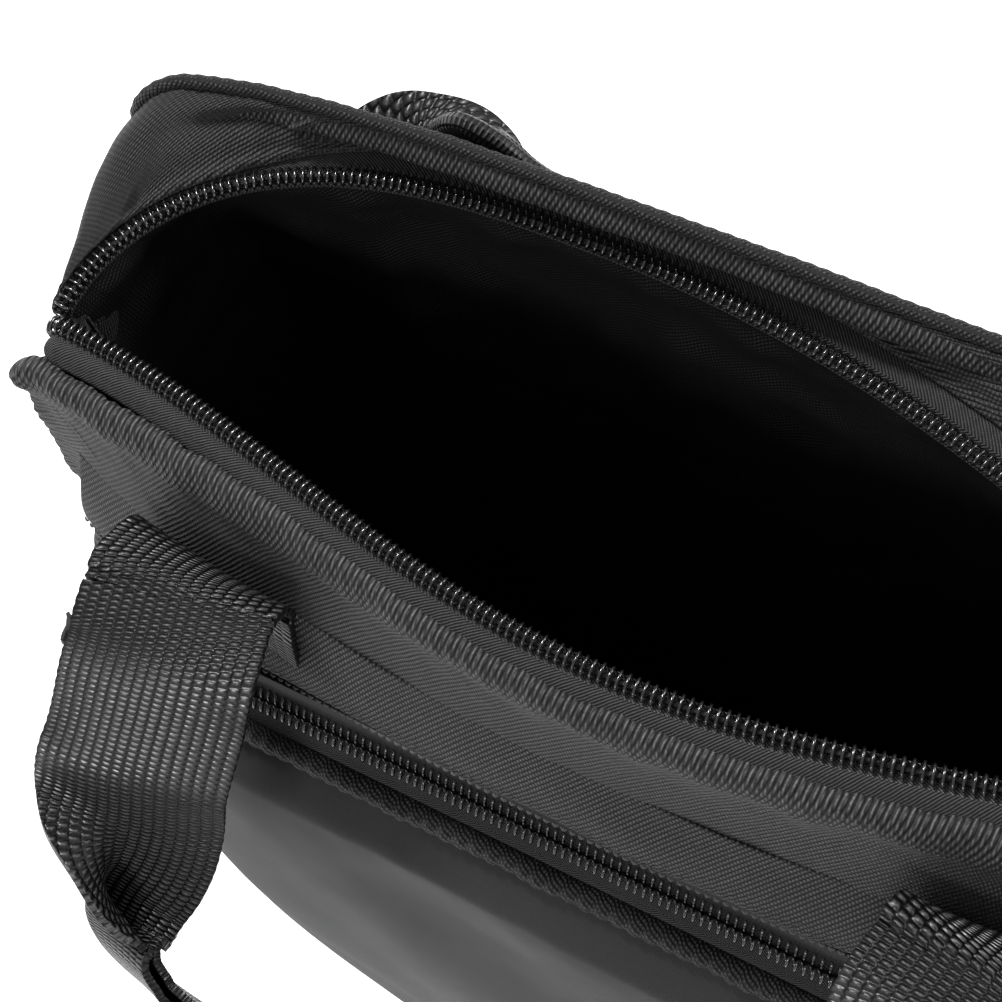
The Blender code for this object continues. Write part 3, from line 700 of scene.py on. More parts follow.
def panel_grid(half, low, high, radius, columns, rows):
    """x and z of a plain panel's grid points, its corners rounded."""
    x = eased(np.linspace(-1, 1, columns), 0.80) * half
    top, bottom = high - corner(x, half, radius), low + corner(x, half, radius)
    z = mix(bottom[None], top[None], eased(np.linspace(-1, 1, rows), 0.85)[:, None] / 2 + 0.5)
    return np.broadcast_to(x[None], z.shape), z


def behind(face, sign, x, z, depth):
    step = 0.0005
    slope_x = (face(x + step, z) - face(x - step, z)) / (2 * step)
    slope_z = (face(x, z + step) - face(x, z - step)) / (2 * step)
    inward = unit(together(-slope_x, np.ones_like(x), -slope_z)) * sign
    return together(x, face(x, z), z) + inward * np.asarray(depth)[..., None]


def padding(side, face, sign, inset, high):
    """The foam inside a panel: a crowned pad that thins towards its sewn edges."""
    columns, rows = 50, 60
    x, z = panel_grid(HALF - 0.003 - inset, 0.0035 + inset, high - inset, 0.018, columns, rows)
    u, v = np.meshgrid(np.linspace(-1, 1, columns), np.linspace(-1, 1, rows))
    edge = np.minimum(1 - np.abs(u), 1 - np.abs(v))
    thick = PAD_THICK * np.sqrt(smooth(edge / 0.10)) + 0.0002
    pad = closed_form(f"{side}_padding", behind(face, sign, x, z, PAD_IN + 0 * x),
                      behind(face, sign, x, z, PAD_IN + thick))
    paint(pad, FOAM, "bag", "foam", f"{side}_foam_pad")


def closed_form(name, outer, inner):
    """One closed mesh between two grids of points, its edges joined by a rim."""
    rows, columns = outer.shape[:2]
    count = rows * columns
    shape = np.arange(count).reshape(rows, columns)
    quads = together(shape[:-1, :-1], shape[:-1, 1:], shape[1:, 1:], shape[1:, :-1]).reshape(-1, 4)
    rim = np.concatenate([shape[0], shape[1:, -1], shape[-1, -2::-1], shape[-2:0:-1, 0]])
    after = np.roll(rim, -1)
    faces = [quads, (quads + count)[:, ::-1], together(rim, rim + count, after + count, after)]
    points = np.concatenate([outer.reshape(-1, 3), inner.reshape(-1, 3)])
    cloth = np.concatenate([cloth_of(outer).reshape(-1, 2)] * 2)
    piece = mesh_object(name, points, np.concatenate(faces), cloth)
    recalculate(piece)
    return piece


def recalculate(piece):
    shape = bmesh.new()
    shape.from_mesh(piece.data)
    bmesh.ops.recalc_face_normals(shape, faces=shape.faces)
    shape.to_mesh(piece.data)
    shape.free()


# ---------------------------------------------------------------- gussets, base and welt


def tape_edge(side):
    """The outer edge of one tape, as a path with its frames."""
    path, out, normal, _ = zip_frames(side, 0.0012)
    if side == "front":
        return path + out * 0.0050 - normal * 0.0010, out, normal
    away = 0.0024 + 0.0048 * smooth((0.132 - np.abs(path[:, :1])) / 0.045)
    return path + out * away + normal * 0.0004, out, normal


def bezier(a, b, c, d, t):
    return ((1 - t) ** 3 * a + 3 * (1 - t) ** 2 * t * b + 3 * (1 - t) * t ** 2 * c + t ** 3 * d)


def welt_run(turn):
    """The welt's line on the rear panel's edge, for 0 at the left foot, through the top, to 1."""
    high, radius = RIM + 0.0128, 0.014
    x0 = HALF + 0.0004
    z_low = 0.020
    wall, arc, top = high - radius - z_low, radius * math.pi / 2, x0 - radius
    total = wall + arc + top
    s = np.abs(np.abs(turn * 2 - 1) - 1) * total
    sign = np.where(turn < 0.5, -1.0, 1.0)
    angle = np.clip((s - wall) / arc, 0, 1) * math.pi / 2
    x = np.where(s < wall, x0, x0 - radius + radius * np.cos(angle))
    z = np.where(s < wall, z_low + s, high - radius + radius * np.sin(angle))
    x = np.where(s > wall + arc, x0 - radius - (s - wall - arc), x)
    return together(sign * x, welt_y(x), z)


def welt_y(x):
    return np.interp(np.abs(x), [0.0, 0.077, 0.107, 0.124, 0.135, 0.143, 0.149, 0.154, 0.158],
                     [0.0552, 0.0544, 0.0524, 0.0506, 0.0484, 0.0462, 0.0432, 0.0398, 0.0368])


def rear_skin(x, z):
    """The rear face, eased forward near its top corners to meet the welt."""
    return welt_y(x) + 0.0005 + crown(x, z) * (1 - smooth((z - 0.33) / 0.09))


def rear_gusset():
    """One strip up the left end, over the mouth behind its zip, and down the right end."""
    edge, out, normal = tape_edge("rear")
    lengths = arc_length(edge)
    where = np.linspace(0, 1, 620) * lengths[-1]
    near, out, normal = (read_at(table, lengths, where) for table in (edge, out, normal))
    dense = welt_run(np.linspace(0, 1, 2400))
    start = np.argmin(np.abs(dense[:1200, 2] - (RIM - SLIT)))
    dense = dense[start:2400 - start]
    run = arc_length(dense)
    far = read_at(dense, run, matched(near, dense, run))
    span = np.linalg.norm(far - near, axis=1, keepdims=True)
    end = smooth((0.036 - near[:, 1:2]) / 0.030)
    lead = unit(mix(out + normal * 0.30, np.array([0, 1.0, 0.12]) - normal * 0.10, end))
    a = near
    b = near + lead * span * mix(0.40, 0.30, end)
    c = far + np.array([0, -1.0, 0]) * span * mix(0.34, 0.45, end)
    d = far + np.array([0, -0.0006, -0.0012])
    t = np.linspace(0, 1, 44)[None, :, None]
    points = bezier(a[:, None], b[:, None], c[:, None], d[:, None], t)
    skin = unit(np.cross(np.gradient(points, axis=0), np.gradient(points, axis=1)))
    skin = skin * np.sign(np.sum(skin * (normal[:, None] + out[:, None] * 0.2), axis=-1, keepdims=True))
    along, across = where[:, None], t[..., 0] * span
    high = smooth((near[:, 2:] - (RIM - 0.014)) / 0.012)
    swell = np.sin(math.pi * t[..., 0]) * mix(np.clip(span * 0.05, 0, 0.0020), 0.0010 + 0.0014 * high, end)
    fold = -0.0026 * np.exp(-((t[..., 0] - 0.60) / 0.16) ** 2) * (1 - end) * smooth((span - 0.008) / 0.01)
    fold = fold + 0.0007 * np.exp(-((across - 0.0013) / 0.0010) ** 2)
    crumple = 0.0005 * waves(along, across, 0.035, 31) * np.sin(math.pi * t[..., 0])
    near_seam = gathers(along, across, 0.00022, 33) * smooth(across / 0.001)
    far_seam = gathers(along + 0.001, span - across, 0.00020, 35) * smooth((span - across) / 0.001)
    points = points + skin * (swell + fold + crumple + near_seam + far_seam)[..., None]
    cloth = together(along, across)
    piece = grid_object("rear_gusset", points, cloth)
    face_outward(piece, (0, -0.2, 1))
    thicken(piece, GUSSET_THICK)
    paint(piece, GUSSET, "bag", "shell", "rear_mouth_gusset")
    declare_sheet(piece, float(lengths[-1]), float(np.max(span)) + 0.004, "stretched")


def matched(near, dense, run):
    """Where along the welt each point of the zip's edge is joined, kept in order and smooth."""
    index = np.full(len(near), np.nan)
    top = dense[:, 2] > RIM + 0.0126
    for k, (x, _, z) in enumerate(near):
        if z < RIM - 0.022:
            index[k] = run[np.argmin(np.where(dense[:, 0] * np.sign(x) > 0, np.abs(dense[:, 2] - z), 1))]
        elif -0.140 < x < 0.105:
            index[k] = run[np.argmin(np.where(top, np.abs(dense[:, 0] - x), 1))]
    known = ~np.isnan(index)
    index = np.interp(np.arange(len(near)), np.where(known)[0], index[known])
    index = np.maximum.accumulate(index)
    kernel = np.hanning(41) / np.hanning(41).sum()
    padded = np.concatenate([np.full(20, index[0]), index, np.full(20, index[-1])])
    return np.convolve(padded, kernel, mode="valid")


def wall_strip(name, near, far, columns, swell, seed, material, slot, nodes, way):
    """A lower piece of wall between two lines, a little swollen, its edges gathered by the seams."""
    t = np.linspace(0, 1, columns)[None, :, None]
    points = near[:, None] * (1 - t) + far[:, None] * t
    span = np.linalg.norm(far - near, axis=1, keepdims=True)
    along, across = arc_length(near)[:, None], t[..., 0] * span
    lift = (np.sin(math.pi * t[..., 0]) ** 0.7 * np.reshape(swell, (-1, 1))
            + 0.0005 * waves(along, across, 0.05, seed)
            + gathers(along, across, 0.0002, seed) + gathers(along, span - across, 0.0002, seed + 1))
    points = points + np.array(way, float) * lift[..., None]
    cloth = together(along, across)
    piece = face_outward(grid_object(name, points, cloth), way)
    thicken(piece, GUSSET_THICK)
    paint(piece, material, "bag", slot, *nodes)
    return piece


def end_walls():
    for side, sign in (("left", -1), ("right", 1)):
        z = np.arange(0.004, RIM - SLIT + 0.001, 0.0009)
        x = sign * (HALF - SEWN_IN)
        drop = 0.0060 * (1 - smooth(z / 0.012))
        front_y = front_face(HALF - 0.0004, z) + 0.0028
        rear_y = float(welt_y(HALF)) + 0.0004
        near = together(x - sign * (0.0016 + drop * 0.3), front_y, z)
        far = together(x - sign * (0.0010 + drop * 0.3), rear_y, z)
        swell = 0.0006 + 0.0022 * smooth((RIM - SLIT - z) / 0.050)
        piece = wall_strip(f"end_wall_{side}", near, far, 90, swell, 41, GUSSET, "shell",
                           [f"end_gusset_{side}"], (sign, 0, 0))
        declare_sheet(piece, END_WALL_CUT, RIM - SLIT, "stretched")
        z = np.arange(RIM - SLIT - 0.0045, RIM - 0.0085, 0.0008)
        edge, _, _ = tape_edge("front")
        wall = edge[(edge[:, 0] * sign > 0) & (edge[:, 2] < RIM - 0.004)]
        wall = wall[np.argsort(wall[:, 2])]
        near = read_at(wall, wall[:, 2], z)
        near[:, 2] = z
        front_y = front_face(HALF - 0.0004, z) + 0.0028
        inset = 0.0016 + 0.9 * corner(z - (RIM - 0.0004) + 0.0500, 0.050, 0.009)
        far = together(sign * (HALF - SEWN_IN - inset), front_y, z)
        piece = wall_strip(f"front_wall_{side}", near, far, 40, 0.0006, 43, GUSSET, "shell",
                           [f"front_corner_{side}"], (sign, 0, 0))
        declare_sheet(piece, CORNER_CUT, SLIT, "stretched")


def base_and_board():
    x = np.linspace(-1, 1, 160) * (HALF - 0.0030)
    near, far = front_face(x, 0.004) + 0.0022, rear_face(x, 0.004) - 0.0022
    v = np.linspace(0, 1, 60)[:, None]
    y = near[None] * (1 - v) + far[None] * v
    edge = np.minimum(np.minimum(v, 1 - v) * 0.105, (1 - np.abs(x[None]) / (HALF - 0.0030)) * HALF)
    ripple = 0.0003 * (1 + waves(x[None], y, 0.05, 51)) * 0.4
    z = 0.0030 * (1 - smooth(edge / 0.006)) + 0.0002 + ripple
    points = together(x[None], y, z)
    base = face_outward(grid_object("base_cloth", points, cloth_of(points)), (0, 0, -1))
    thicken(base, 0.0012)
    paint(base, GUSSET, "bag", "shell", "base_panel")
    declare_sheet(base, 2 * HALF, BASE_CUT, "stretched")
    half_x, half_y = HALF - 0.013, 0.0405
    u, w = np.meshgrid(np.linspace(-1, 1, 150), np.linspace(-1, 1, 50))
    x, y = eased(u, 0.8) * half_x, eased(w, 0.8) * half_y - 0.001
    edge = np.minimum(half_x - np.abs(x), half_y - np.abs(y + 0.001))
    top = (0.0042 + 0.0022 * np.sqrt(smooth(edge / 0.004))
           + 0.00025 * waves(x, y, 0.04, 53) * smooth(edge / 0.01))
    board = closed_form("covered_board", together(x, y, top), together(x, y, 0.0036))
    paint(board, LINING_AND_PAINTED_SHADE, "bag", "board", "base_board")


def rear_welt():
    path = welt_run(np.linspace(0.0, 1.0, 1500))
    for _ in range(6):
        path[1:-1] = (path[:-2] + 2 * path[1:-1] + path[2:]) / 4
    lengths = arc_length(path)
    bead = (0.00165 + 0.00010 * np.sin(FULL_TURN * lengths / SEAM_PITCH)
            + 0.00006 * waves(lengths, lengths * 0, 0.02, 61))
    welt = ring_tube("rear_welt_cord", path, bead, 14, (0, 1, 0))
    paint(welt, BINDING, "bag", "piping", "rear_welt")


# ---------------------------------------------------------------- lining


def lining():
    """The bag's inside: one skin that hangs from both tapes and widens to the walls."""
    path, out = mouth_loop(420)
    front = out[:, 1] < 0.0
    depths = [0.0012, 0.0030, 0.0070, 0.0130, 0.021, 0.032, 0.048, 0.070,
              0.10, 0.14, 0.20, 0.26, 0.32, 0.37, 0.40, RIM - 0.0052]
    depths = np.interp(np.linspace(0, 15, 110), np.arange(16.0), depths)
    spread = np.interp(depths, [0, 0.003, 0.008, 0.020, 0.040, 0.06], [0, 0.02, 0.25, 0.78, 0.98, 1.0])
    wall_x, blend_power = HALF - LINING_END, 6.0
    rows = []
    for z, share in zip(RIM - depths, spread):
        side_x = (wall_x - np.abs(path[:, 0])) / np.maximum(np.abs(out[:, 0]), 1e-3)
        front_reach = (path[:, 1] - (front_face(path[:, 0], z) + LINING_IN)) / np.maximum(-out[:, 1], 1e-3)
        rear_reach = (rear_face(path[:, 0], z) - LINING_IN - path[:, 1]) / np.maximum(out[:, 1], 1e-3)
        reach_y = np.maximum(np.where(front, front_reach, rear_reach), 1e-4)
        reach = (np.maximum(side_x, 1e-4) ** -blend_power + reach_y ** -blend_power) ** (-1 / blend_power)
        place = path[:, :2] + out[:, :2] * (reach * share - 0.0012 * (1 - share))[:, None]
        rows.append(together(place[:, 0], place[:, 1], z))
    points = np.array(rows)
    along = np.concatenate([arc_length(path[:420]), arc_length(path[420:]) + 0.4])[None]
    fall = depths[:, None]
    puff = (gathers(along, fall, 0.0004, 71) * smooth(fall / 0.003)
            + 0.0009 * waves(along, fall, 0.030, 73) * smooth(fall / 0.01)
            + 0.0014 * waves(along, fall * 0.4, 0.060, 75) * smooth(fall / 0.04))
    puff = np.maximum(puff * smooth((RIM - 0.004 - fall) / 0.03), -0.0012)
    points[..., :2] -= out[None, :, :2] * puff[..., None]
    cloth = together(along, fall)
    piece = grid_object("inner_lining", points, cloth, closed=True)
    thicken(piece, LINING_THICK, 0.0)
    paint(piece, LINING_AND_PAINTED_SHADE, "bag", "lining", "front_lining", "rear_lining")
    declare_sheet(piece, LINING_CUT, RIM, "hung")


def mouth_loop(count):
    """Both coils' level runs as one loop round the mouth, with the level way outward at each point."""
    loops = []
    for side, way in (("front", 1), ("rear", -1)):
        path, out, _, _ = zip_frames(side, 0.0010)
        keep = path[:, 2] > RIM - 0.0022
        path, out = path[keep], out[keep]
        if path[0, 0] > path[-1, 0]:
            path, out = path[::-1], out[::-1]
        path, out = path[::way], out[::way]
        lengths = arc_length(path)
        at = np.linspace(0, lengths[-1], count)
        loops.append((read_at(path, lengths, at), read_at(out, lengths, at)))
    path, out = (np.concatenate(pair) for pair in zip(*loops))
    out[:, 2] = 0
    return path, unit(out)


# ---------------------------------------------------------------- pocket


def pocket_frame(x, down, out):
    y, z = POCKET_SLOPE
    return together(x, POCKET_ZIP_Y + 0.7 * end_drop(x) + y * down + z * out,
                    POCKET_ZIP_Z + z * down - y * out)


def straight_frames(half, down, step=0.0008):
    x = np.arange(-half, half, step)
    path = pocket_frame(x, down + 0 * x, 0 * x)
    out = np.tile([0, *POCKET_SLOPE], (len(x), 1))
    normal = np.tile([0, POCKET_SLOPE[1], -POCKET_SLOPE[0]], (len(x), 1))
    return path, out, normal


def pocket_zip():
    for name, down, way, shift, sink in (("upper", -0.0024, 1, 0.0010, -0.0012),
                                         ("lower", 0.00042, -1, 0.0, 0.0002)):
        path, out, normal = straight_frames(POCKET_REACH, down)
        path = path + np.array([shift, 0, 0]) + normal * sink
        coil = coil_mesh(f"pocket_coil_{name}", path, out * way, normal, *POCKET_COIL)
        paint(coil, NYLON, "bag", "coil", f"pocket_zip_coil_{name}")
    path, out, normal = straight_frames(POCKET_REACH + 0.004, 0.0)
    # The upper tape, in the near-black lining cloth, runs on up under the hem as a dark strip: painted shade
    # for the hem's shadow over the zip.
    for name, cloth, profile in (
            ("upper", LINING_AND_PAINTED_SHADE, [(-0.0152, 0.0054), (-0.0110, 0.0027), (-0.0081, 0.0006), (-0.0050, -0.0010),
                               (-0.0006, -0.0014)]),
            ("lower", TAPE_CLOTH, [(0.0006, -0.0014), (0.0036, -0.0012), (0.0066, -0.0012),
                                   (0.0102, -0.0022)])):
        tape = strip(f"pocket_tape_{name}", path, out, normal, profile, 0.0006)
        paint(tape, cloth, "bag", "tape", f"pocket_zip_tape_{name}")


def pocket_edge():
    """The pocket's folded top edge, puckered by its seam."""
    path, out, normal = straight_frames(POCKET_EDGE_HALF, 0.0, 0.0006)
    profile = [(0.0098, -0.0030), (0.0086, -0.0010), (0.0092, 0.0012), (0.0112, 0.0022), (0.0134, 0.0010),
               (0.0142, -0.0012), (0.0136, -0.0032)]

    def pucker(along, across):
        stitched = np.sin(FULL_TURN * along / 0.0040 + waves(along, 0 * along, 0.03, 81))
        return 0.0003 * stitched + 0.0003 * waves(along, across, 0.012, 83)

    roll = strip("pocket_edge_roll", path, out, normal, profile, 0.0008, wobble=pucker)
    face_outward(roll, (0, POCKET_SLOPE[1], -POCKET_SLOPE[0]))
    paint(roll, ROLL, "bag", "piping", "pocket_rolled_edge")


def pocket_panel():
    u = eased(np.linspace(-1, 1, 260), 0.75)
    v = np.linspace(0, 1, 170)
    edge_z = POCKET_TOP + 0.0016
    z = mix(edge_z, POCKET_FOOT, 0.5 - 0.5 * np.cos(math.pi * v))[:, None]
    x = (u * POCKET_HALF)[None] + 0 * z
    edge = np.minimum((1 - np.abs(u[None])) * POCKET_HALF, np.minimum(edge_z - z, z - POCKET_FOOT))
    lip = 0.0060 * (1 - smooth((edge_z - z) / 0.010))
    y = pocket_face(x, np.minimum(z, POCKET_TOP)) + lip
    y = y - 0.0016 * waves(x, z, 0.09, 91) * smooth(edge / 0.03) - gathers(x, edge_z - z, 0.00016, 93)
    points = together(x, y, z)
    panel = face_outward(grid_object("pocket_panel_cloth", points, cloth_of(points)), (0, -1, 0))
    thicken(panel, GUSSET_THICK)
    paint(panel, POCKET, "bag", "pocket", "pocket_panel")
    declare_sheet(panel, *POCKET_CUT, "stretched")


def pocket_sides():
    for side, sign in (("left", -1), ("right", 1)):
        z = np.arange(POCKET_FOOT + 0.0005, POCKET_TOP - 0.001, 0.0010)
        near = together(sign * 0.1466, front_face(0.1470, z) - 0.0004, z)
        far = together(sign * 0.1468, pocket_face(0.1475, z) + 0.0010, z)
        piece = wall_strip(f"pocket_side_{side}", near, far, 24, 0.0008, 95, POCKET, "pocket",
                           [f"pocket_gusset_{side}"], (sign, 0, 0))
        declare_sheet(piece, POCKET_SIDE_CUT, POCKET_TOP - POCKET_FOOT, "stretched")
    x = np.arange(-POCKET_FLOOR_HALF, POCKET_FLOOR_HALF, 0.0012)
    z = POCKET_FOOT - 0.0022 + 0 * x
    near = together(x, front_face(x, z) - 0.0004, z)
    far = together(x, pocket_face(x, POCKET_FOOT) + 0.0006, z + 0.0020)
    piece = wall_strip("pocket_floor", near, far, 24, 0.0006, 97, POCKET, "pocket",
                       ["pocket_base_gusset"], (0, 0, -1))
    declare_sheet(piece, *POCKET_FLOOR_CUT, "stretched")


def hem():
    """The front panel's folded lower edge over the pocket zip, with its line of stitches."""
    x = np.arange(-HEM_HALF, HEM_HALF, 0.0009)
    low = HEM + 0.0080
    profile = catmull([(low + 0.0170, 0.0002), (low + 0.0130, 0.0016), (low + 0.0100, 0.0028),
                       (low + 0.0060, 0.0044), (low + 0.0025, 0.0054), (low + 0.0002, 0.0054),
                       (low - 0.0012, 0.0044), (low - 0.0008, 0.0030), (low + 0.0014, 0.0012)], 44)
    z = np.broadcast_to(profile[None, :, 0], (len(x), 44))
    along, across = x[:, None], arc_length(profile)[None]
    wobble = 0.00022 * np.sin(FULL_TURN * along / 0.0024) * np.exp(-((across - 0.0160) / 0.0022) ** 2)
    wobble = wobble + 0.0003 * waves(along, across, 0.03, 99)
    y = front_face(x[:, None], z) - profile[None, :, 1] - wobble
    points = together(along, y, z)
    cloth = together(along, z)
    piece = face_outward(grid_object("hem_fold", points, cloth), (0, -1, 0))
    thicken(piece, 0.0006)
    paint(piece, SHELL, "bag", "shell", "pocket_hem")
    line = together(x, front_face(x, low + 0.0008) - 0.0060, low + 0.0008)
    stitches("hem_stitches", line, (0, -1, 0), *HEM_STITCH)


def stitches(name, line, way, pitch, length, radius):
    """A run of sewing thread: one short rounded stitch after another along a line."""
    lengths = arc_length(line)
    starts = np.arange(pitch * 0.2, lengths[-1] - length, pitch)
    rings, sides = 9, 6
    t = np.linspace(0, 1, rings)
    angle = np.linspace(0, FULL_TURN, sides, endpoint=False)
    where = starts[:, None] + t[None] * length
    path = np.stack([np.interp(where, lengths, line[:, i]) for i in range(3)], axis=-1)
    way = unit(np.array(way, float))
    path = path + way * (np.sin(math.pi * t) * 0.0003)[None, :, None]
    along = unit(np.gradient(path, axis=1))
    side = unit(np.cross(along, way))
    size = radius * np.sqrt(np.clip(np.sin(math.pi * t), 0.0, 1)) + 1e-6
    ring = (side[:, :, None] * np.cos(angle)[None, None, :, None]
            + way * np.sin(angle)[None, None, :, None]) * size[None, :, None, None]
    points = path[:, :, None] + ring
    index = np.arange(len(starts) * rings * sides).reshape(len(starts), rings, sides)
    after = np.roll(index, -1, axis=2)
    quads = together(index[:, :-1], after[:, :-1], after[:, 1:], index[:, 1:]).reshape(-1, 4)
    cloth = together(where[:, :, None], angle[None, None] * radius)
    piece = mesh_object(name, points.reshape(-1, 3), quads, cloth.reshape(-1, 2))
    recalculate(piece)
    paint(piece, THREAD, "bag", "piping")


# ---------------------------------------------------------------- handles


def folded_band(name, knots, rows, columns):
    """Webbing along knots of (crease point, across, fold, curl, sag), one half folding over the other."""
    table = catmull([[*p, *a, f, c, s] for p, a, f, c, s in knots], rows * 3)
    lengths = arc_length(table[:, :3])
    table = read_at(table, lengths, np.linspace(0, lengths[-1], rows))
    crease, across = table[:, :3], unit(table[:, 3:6])
    fold, curl, sag = (table[:, i][:, None] for i in (6, 7, 8))
    along = unit(np.gradient(crease, axis=0))
    across = unit(across - along * np.sum(across * along, axis=1, keepdims=True))
    out = np.cross(along, across)
    half = WEBBING / 2
    w = np.linspace(-half, half, columns)[None] + 0 * fold
    w = w * np.where(w < 0, 1 - 0.42 * np.sin(math.pi * np.clip(fold, 0, 1)), 1.0)
    angle = math.pi * 0.985 * fold * smooth(-w / np.maximum(curl, 1e-4) + 0.5)
    bow = sag * np.sin(math.pi * np.clip(w / half, -1, 1) * 0.5)
    angle = angle + bow
    step = np.diff(w, axis=1)
    middle = (angle[:, 1:] + angle[:, :-1]) / 2
    flat = np.concatenate([np.zeros((rows, 1)), np.cumsum(np.cos(middle) * step, axis=1)], axis=1)
    lift = np.concatenate([np.zeros((rows, 1)), np.cumsum(np.sin(middle) * step, axis=1)], axis=1)
    centre = columns // 2
    flat, lift = flat - flat[:, centre:centre + 1], lift - lift[:, centre:centre + 1]
    points = crease[:, None] + across[:, None] * flat[..., None] - out[:, None] * lift[..., None]
    run = np.linspace(0, lengths[-1], rows)[:, None]
    scallop = 0.00022 * np.abs(np.sin(math.pi * run / 0.0025)) * smooth((np.abs(w) - half + 0.0006) / 0.0006)
    points = points + across[:, None] * (scallop * np.sign(w) * np.cos(angle))[..., None]
    cloth = together(w + half, run)
    band = grid_object(name, points, cloth)
    thicken(band, WEBBING_THICK, 0.0)
    round_off = band.modifiers.new("edges", "BEVEL")
    round_off.width = 0.00055
    round_off.segments = 2
    round_off.limit_method = "ANGLE"
    return band


def mirrored(knots):
    """A strap's left half and middle knot, with the right half added."""
    return knots + [((-x, y, z), (-a, b, c), *bend) for (x, y, z), (a, b, c), *bend in knots[-2::-1]]


def handle_front():
    y0, z0 = float(front_face(HANDLE_X, LEAVE_Z)) - LEAVE_OUT, LEAVE_Z
    fold_y, fold_z = y0 - FOLD_OUT, z0 + FOLD_UP
    half = [
        ((-0.0909, fold_y + 0.0012, fold_z), (1, 0.03, 0), 0.0, 0.012, 0.05),
        ((-0.0880, y0 - 0.0235, z0 + 0.0095), (1, 0.12, 0), 0.0, 0.012, 0.10),
        ((-0.0880, y0 - 0.0350, z0 + 0.0020), (1, 0.28, 0.05), 0.0, 0.012, 0.16),
        ((-0.0887, -0.0918, RIM - 0.0270), (1, 0.30, 0.10), 0.0, 0.012, 0.20),
        ((-0.0904, -0.0995, RIM - 0.0400), (1, 0.30, 0.10), 0.06, 0.012, 0.15),
        ((-0.0930, -0.1060, RIM - 0.0495), (1, 0.26, 0.12), 0.50, 0.010, 0.06),
        ((-0.0968, -0.1124, RIM - 0.0574), (1, 0.22, 0.14), 0.90, 0.008, 0.02),
        ((-0.0990, -0.1184, RIM - 0.0649), (0.94, 0.14, 0.34), 1.0, 0.006, 0.0),
        ((-0.0962, -0.1224, RIM - 0.0726), (0.76, 0.05, 0.64), 1.0, 0.005, 0.0),
        ((-0.0912, -0.1248, RIM - 0.0795), (0.69, 0.01, 0.72), 1.0, 0.005, 0.0),
        ((-0.0841, -0.1262, RIM - 0.0856), (0.62, -0.04, 0.78), 1.0, 0.005, 0.0),
        ((-0.0713, -0.1276, RIM - 0.0925), (0.34, -0.05, 0.95), 1.0, 0.005, 0.0),
        ((-0.0500, -0.1286, RIM - 0.0985), (0.15, 0.0, 1.0), 1.0, 0.005, 0.0),
        ((-0.0240, -0.1290, RIM - 0.1030), (0.05, 0.04, 1.0), 1.0, 0.005, 0.0),
        ((0.0, -0.1294, RIM - 0.1040), (0.0, 0.05, 1.0), 1.0, 0.005, 0.0),
    ]
    band = folded_band("front_handle_strap", mirrored(half), 1000, 49)
    paint(band, WEB, "front_handle", "webbing", "front_handle")
    left = sewn_down(front_face, -1, ((HEM + 0.0080, 0.0022), (HEM + 0.0140, 0.0022), (RIM - 0.030, 0.0030),
                                      (z0 - 0.002, 0.0040)))
    left += [((-0.0920, y0 - 0.0040, z0 + 0.0060), (1, 0, 0), 0.0, 0.012, 0.03),
             ((-0.0908, y0 - 0.0080, z0 + 0.0098), (1, 0.02, 0), 0.0, 0.012, 0.05),
             ((-0.0902, fold_y, fold_z), (1, 0.03, 0), 0.0, 0.012, 0.05)]
    right = [((-x, y, z), (-a, b, c), *bend) for (x, y, z), (a, b, c), *bend in left]
    for side, knots in (("left", left), ("right", right)):
        end = folded_band(f"front_handle_root_{side}", knots, 130, 41)
        paint(end, WEB, "bag", "webbing", f"front_handle_end_{side}")


def sewn_down(face, way, stations):
    """Knots of a handle's left end lying on a face, at given heights and distances off it."""
    knots = []
    for z, off in stations:
        left, middle, right = (float(face(-HANDLE_X + step, z)) for step in (-WEBBING / 2, 0, WEBBING / 2))
        knots.append(((-HANDLE_X, middle + way * off, z), (1, (right - left) / WEBBING, 0), 0.0, 0.012, 0.0))
    return knots


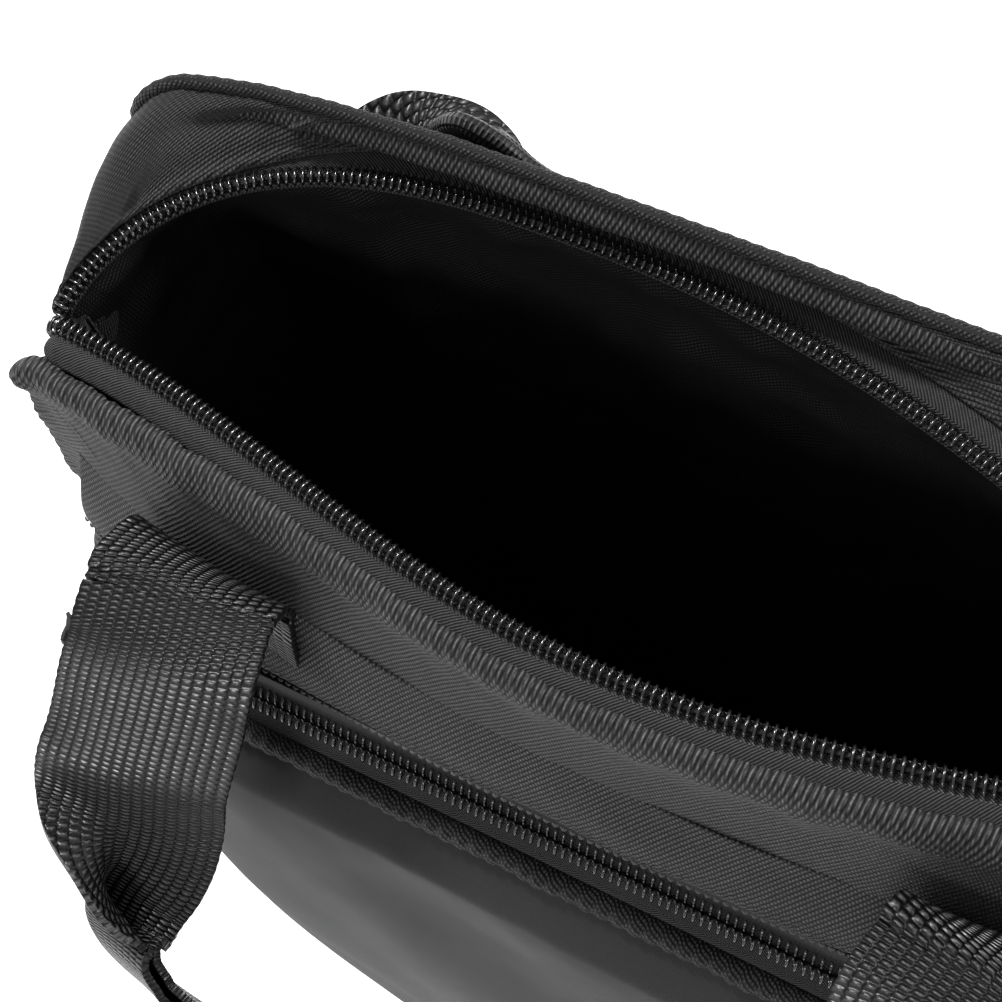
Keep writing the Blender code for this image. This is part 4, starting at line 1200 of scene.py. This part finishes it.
def handle_rear():
    y1, z1 = REAR + REAR_HANDLE_OUT, REAR_FOLD_Z
    half = [
        ((-HANDLE_X, y1 - 0.0002, z1 - 0.0008), (1, 0, 0), 0.0, 0.010, 0.0),
        ((-0.0920, y1 - 0.0010, z1 + 0.0045), (0.98, 0.03, -0.12), 0.34, 0.009, 0.0),
        ((-0.0895, y1 - 0.0010, z1 + 0.0120), (0.88, 0.05, -0.42), 0.85, 0.007, 0.0),
        ((-0.0852, y1 - 0.0010, z1 + 0.0200), (0.68, 0.05, -0.74), 1.0, 0.006, 0.0),
        ((-0.0785, y1 - 0.0010, z1 + 0.0250), (0.52, 0.04, -0.86), 1.0, 0.005, 0.0),
        ((-0.0700, y1 - 0.0012, z1 + 0.0225), (0.58, 0.04, -0.82), 1.0, 0.005, 0.0),
        ((-0.0610, y1 - 0.0016, z1 + 0.0150), (0.50, 0.03, -0.86), 1.0, 0.005, 0.0),
        ((-0.0480, y1 - 0.0020, z1 + 0.0115), (0.10, 0.02, -1), 1.0, 0.005, 0.0),
        ((-0.0320, y1 - 0.0020, z1 + 0.0115), (0, 0, -1), 1.0, 0.005, 0.0),
        ((-0.0160, y1 - 0.0020, z1 + 0.0080), (0, 0, -1), 1.0, 0.005, 0.0),
        ((0.0, y1 - 0.0020, z1 + 0.0050), (0, 0, -1), 1.0, 0.005, 0.0),
    ]
    low_half = [((x, y, z1 + (z - z1) * mix(1.0, 0.45, float(smooth(-x / 0.04)))), *rest)
                for (x, y, z), *rest in half]
    knots = half[:-1] + mirrored(low_half)[len(half) - 1:]
    band = folded_band("rear_handle_strap", knots, 700, 49)
    paint(band, WEB, "rear_handle", "webbing", "rear_handle")
    left = sewn_down(rear_face, 1, ((RIM - 0.078, 0.0022), (RIM - 0.060, 0.0022), (RIM - 0.045, 0.0026),
                                    (z1, 0.0034)))
    right = [((-x, y, z), (a, -b, c), *bend) for (x, y, z), (a, b, c), *bend in left]
    for side, knots in (("left", left), ("right", right)):
        end = folded_band(f"rear_handle_root_{side}", knots, 120, 41)
        paint(end, WEB, "bag", "webbing", f"rear_handle_end_{side}")


# ---------------------------------------------------------------- camera, floor and light


def camera():
    data = bpy.data.cameras.new("camera")
    data.sensor_width = 36.0
    data.lens = 79.04
    data.clip_start = 0.01
    seen = bpy.data.objects.new("camera", data)
    right, up = Vector((0.8645, 0.4622, -0.1976)), Vector((-0.3705, 0.8516, 0.3708))
    back = right.cross(up).normalized()
    up = back.cross(right).normalized()
    turn = Matrix((right.normalized(), up, back)).transposed().to_4x4()
    seen.matrix_world = Matrix.Translation((0.1180, -0.1206, RIM + 0.4058)) @ turn
    bpy.context.scene.collection.objects.link(seen)
    bpy.context.scene.camera = seen


def area_light(name, place, aim, size, power):
    data = bpy.data.lights.new(name, "AREA")
    data.shape = "DISK"
    data.size = size
    data.energy = power
    light = bpy.data.objects.new(name, data)
    way = Vector(aim) - Vector(place)
    light.rotation_euler = way.to_track_quat("-Z", "Y").to_euler()
    light.location = place
    bpy.context.scene.collection.objects.link(light)


def studio():
    bpy.ops.mesh.primitive_plane_add(size=30.0, location=(0, 0, -0.0006))
    floor = bpy.context.object
    floor.name = "studio_floor"
    g = Graph("floor_paper", 0.9, specular=0.1)
    g.colour(g.range(g.noise(3.0), 0.3, 0.7), (0.88, 0.88, 0.88), (0.92, 0.92, 0.92))
    g.shader.inputs["Emission Color"].default_value = (1, 1, 1, 1)
    g.shader.inputs["Emission Strength"].default_value = 0.70
    floor.data.materials.append(g.material)
    world = bpy.data.worlds.new("studio")
    world.use_nodes = True
    background = world.node_tree.nodes["Background"]
    background.inputs["Color"].default_value = (1, 1, 1, 1)
    background.inputs["Strength"].default_value = 0.34
    bpy.context.scene.world = world
    area_light("key", (-0.60, 0.35, 1.50), (0, 0, 0.42), 0.32, 19)
    area_light("fill", (0.1, -1.4, 1.3), (0, 0, 0.38), 0.45, 8)
    area_light("back", (0.9, 0.9, 1.3), (0, 0, 0.42), 0.5, 7)
    bpy.context.scene.view_settings.view_transform = "Standard"


# ---------------------------------------------------------------- build


def hardware():
    """The CAD's own sliders, pulls and stops, in metal."""
    for node in ("main_slider_body", "main_slider_pull", "pocket_slider_body", "pocket_slider_pull",
                 "zip_end_stop_left", "zip_end_stop_right", "pocket_zip_stop_left", "pocket_zip_stop_right"):
        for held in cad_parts[node].material_slots:
            held.material = METAL


def build():
    camera()
    studio()
    front_shell()
    rear_shell()
    padding("front", front_face, 1, 0.016, RIM - 0.006)
    padding("rear", rear_skin, -1, 0.026, RIM + WELT_RISE)
    rear_gusset()
    end_walls()
    base_and_board()
    rear_welt()
    main_zip()
    lining()
    pocket_zip()
    pocket_edge()
    pocket_panel()
    pocket_sides()
    hem()
    handle_front()
    handle_rear()
    hardware()


build()
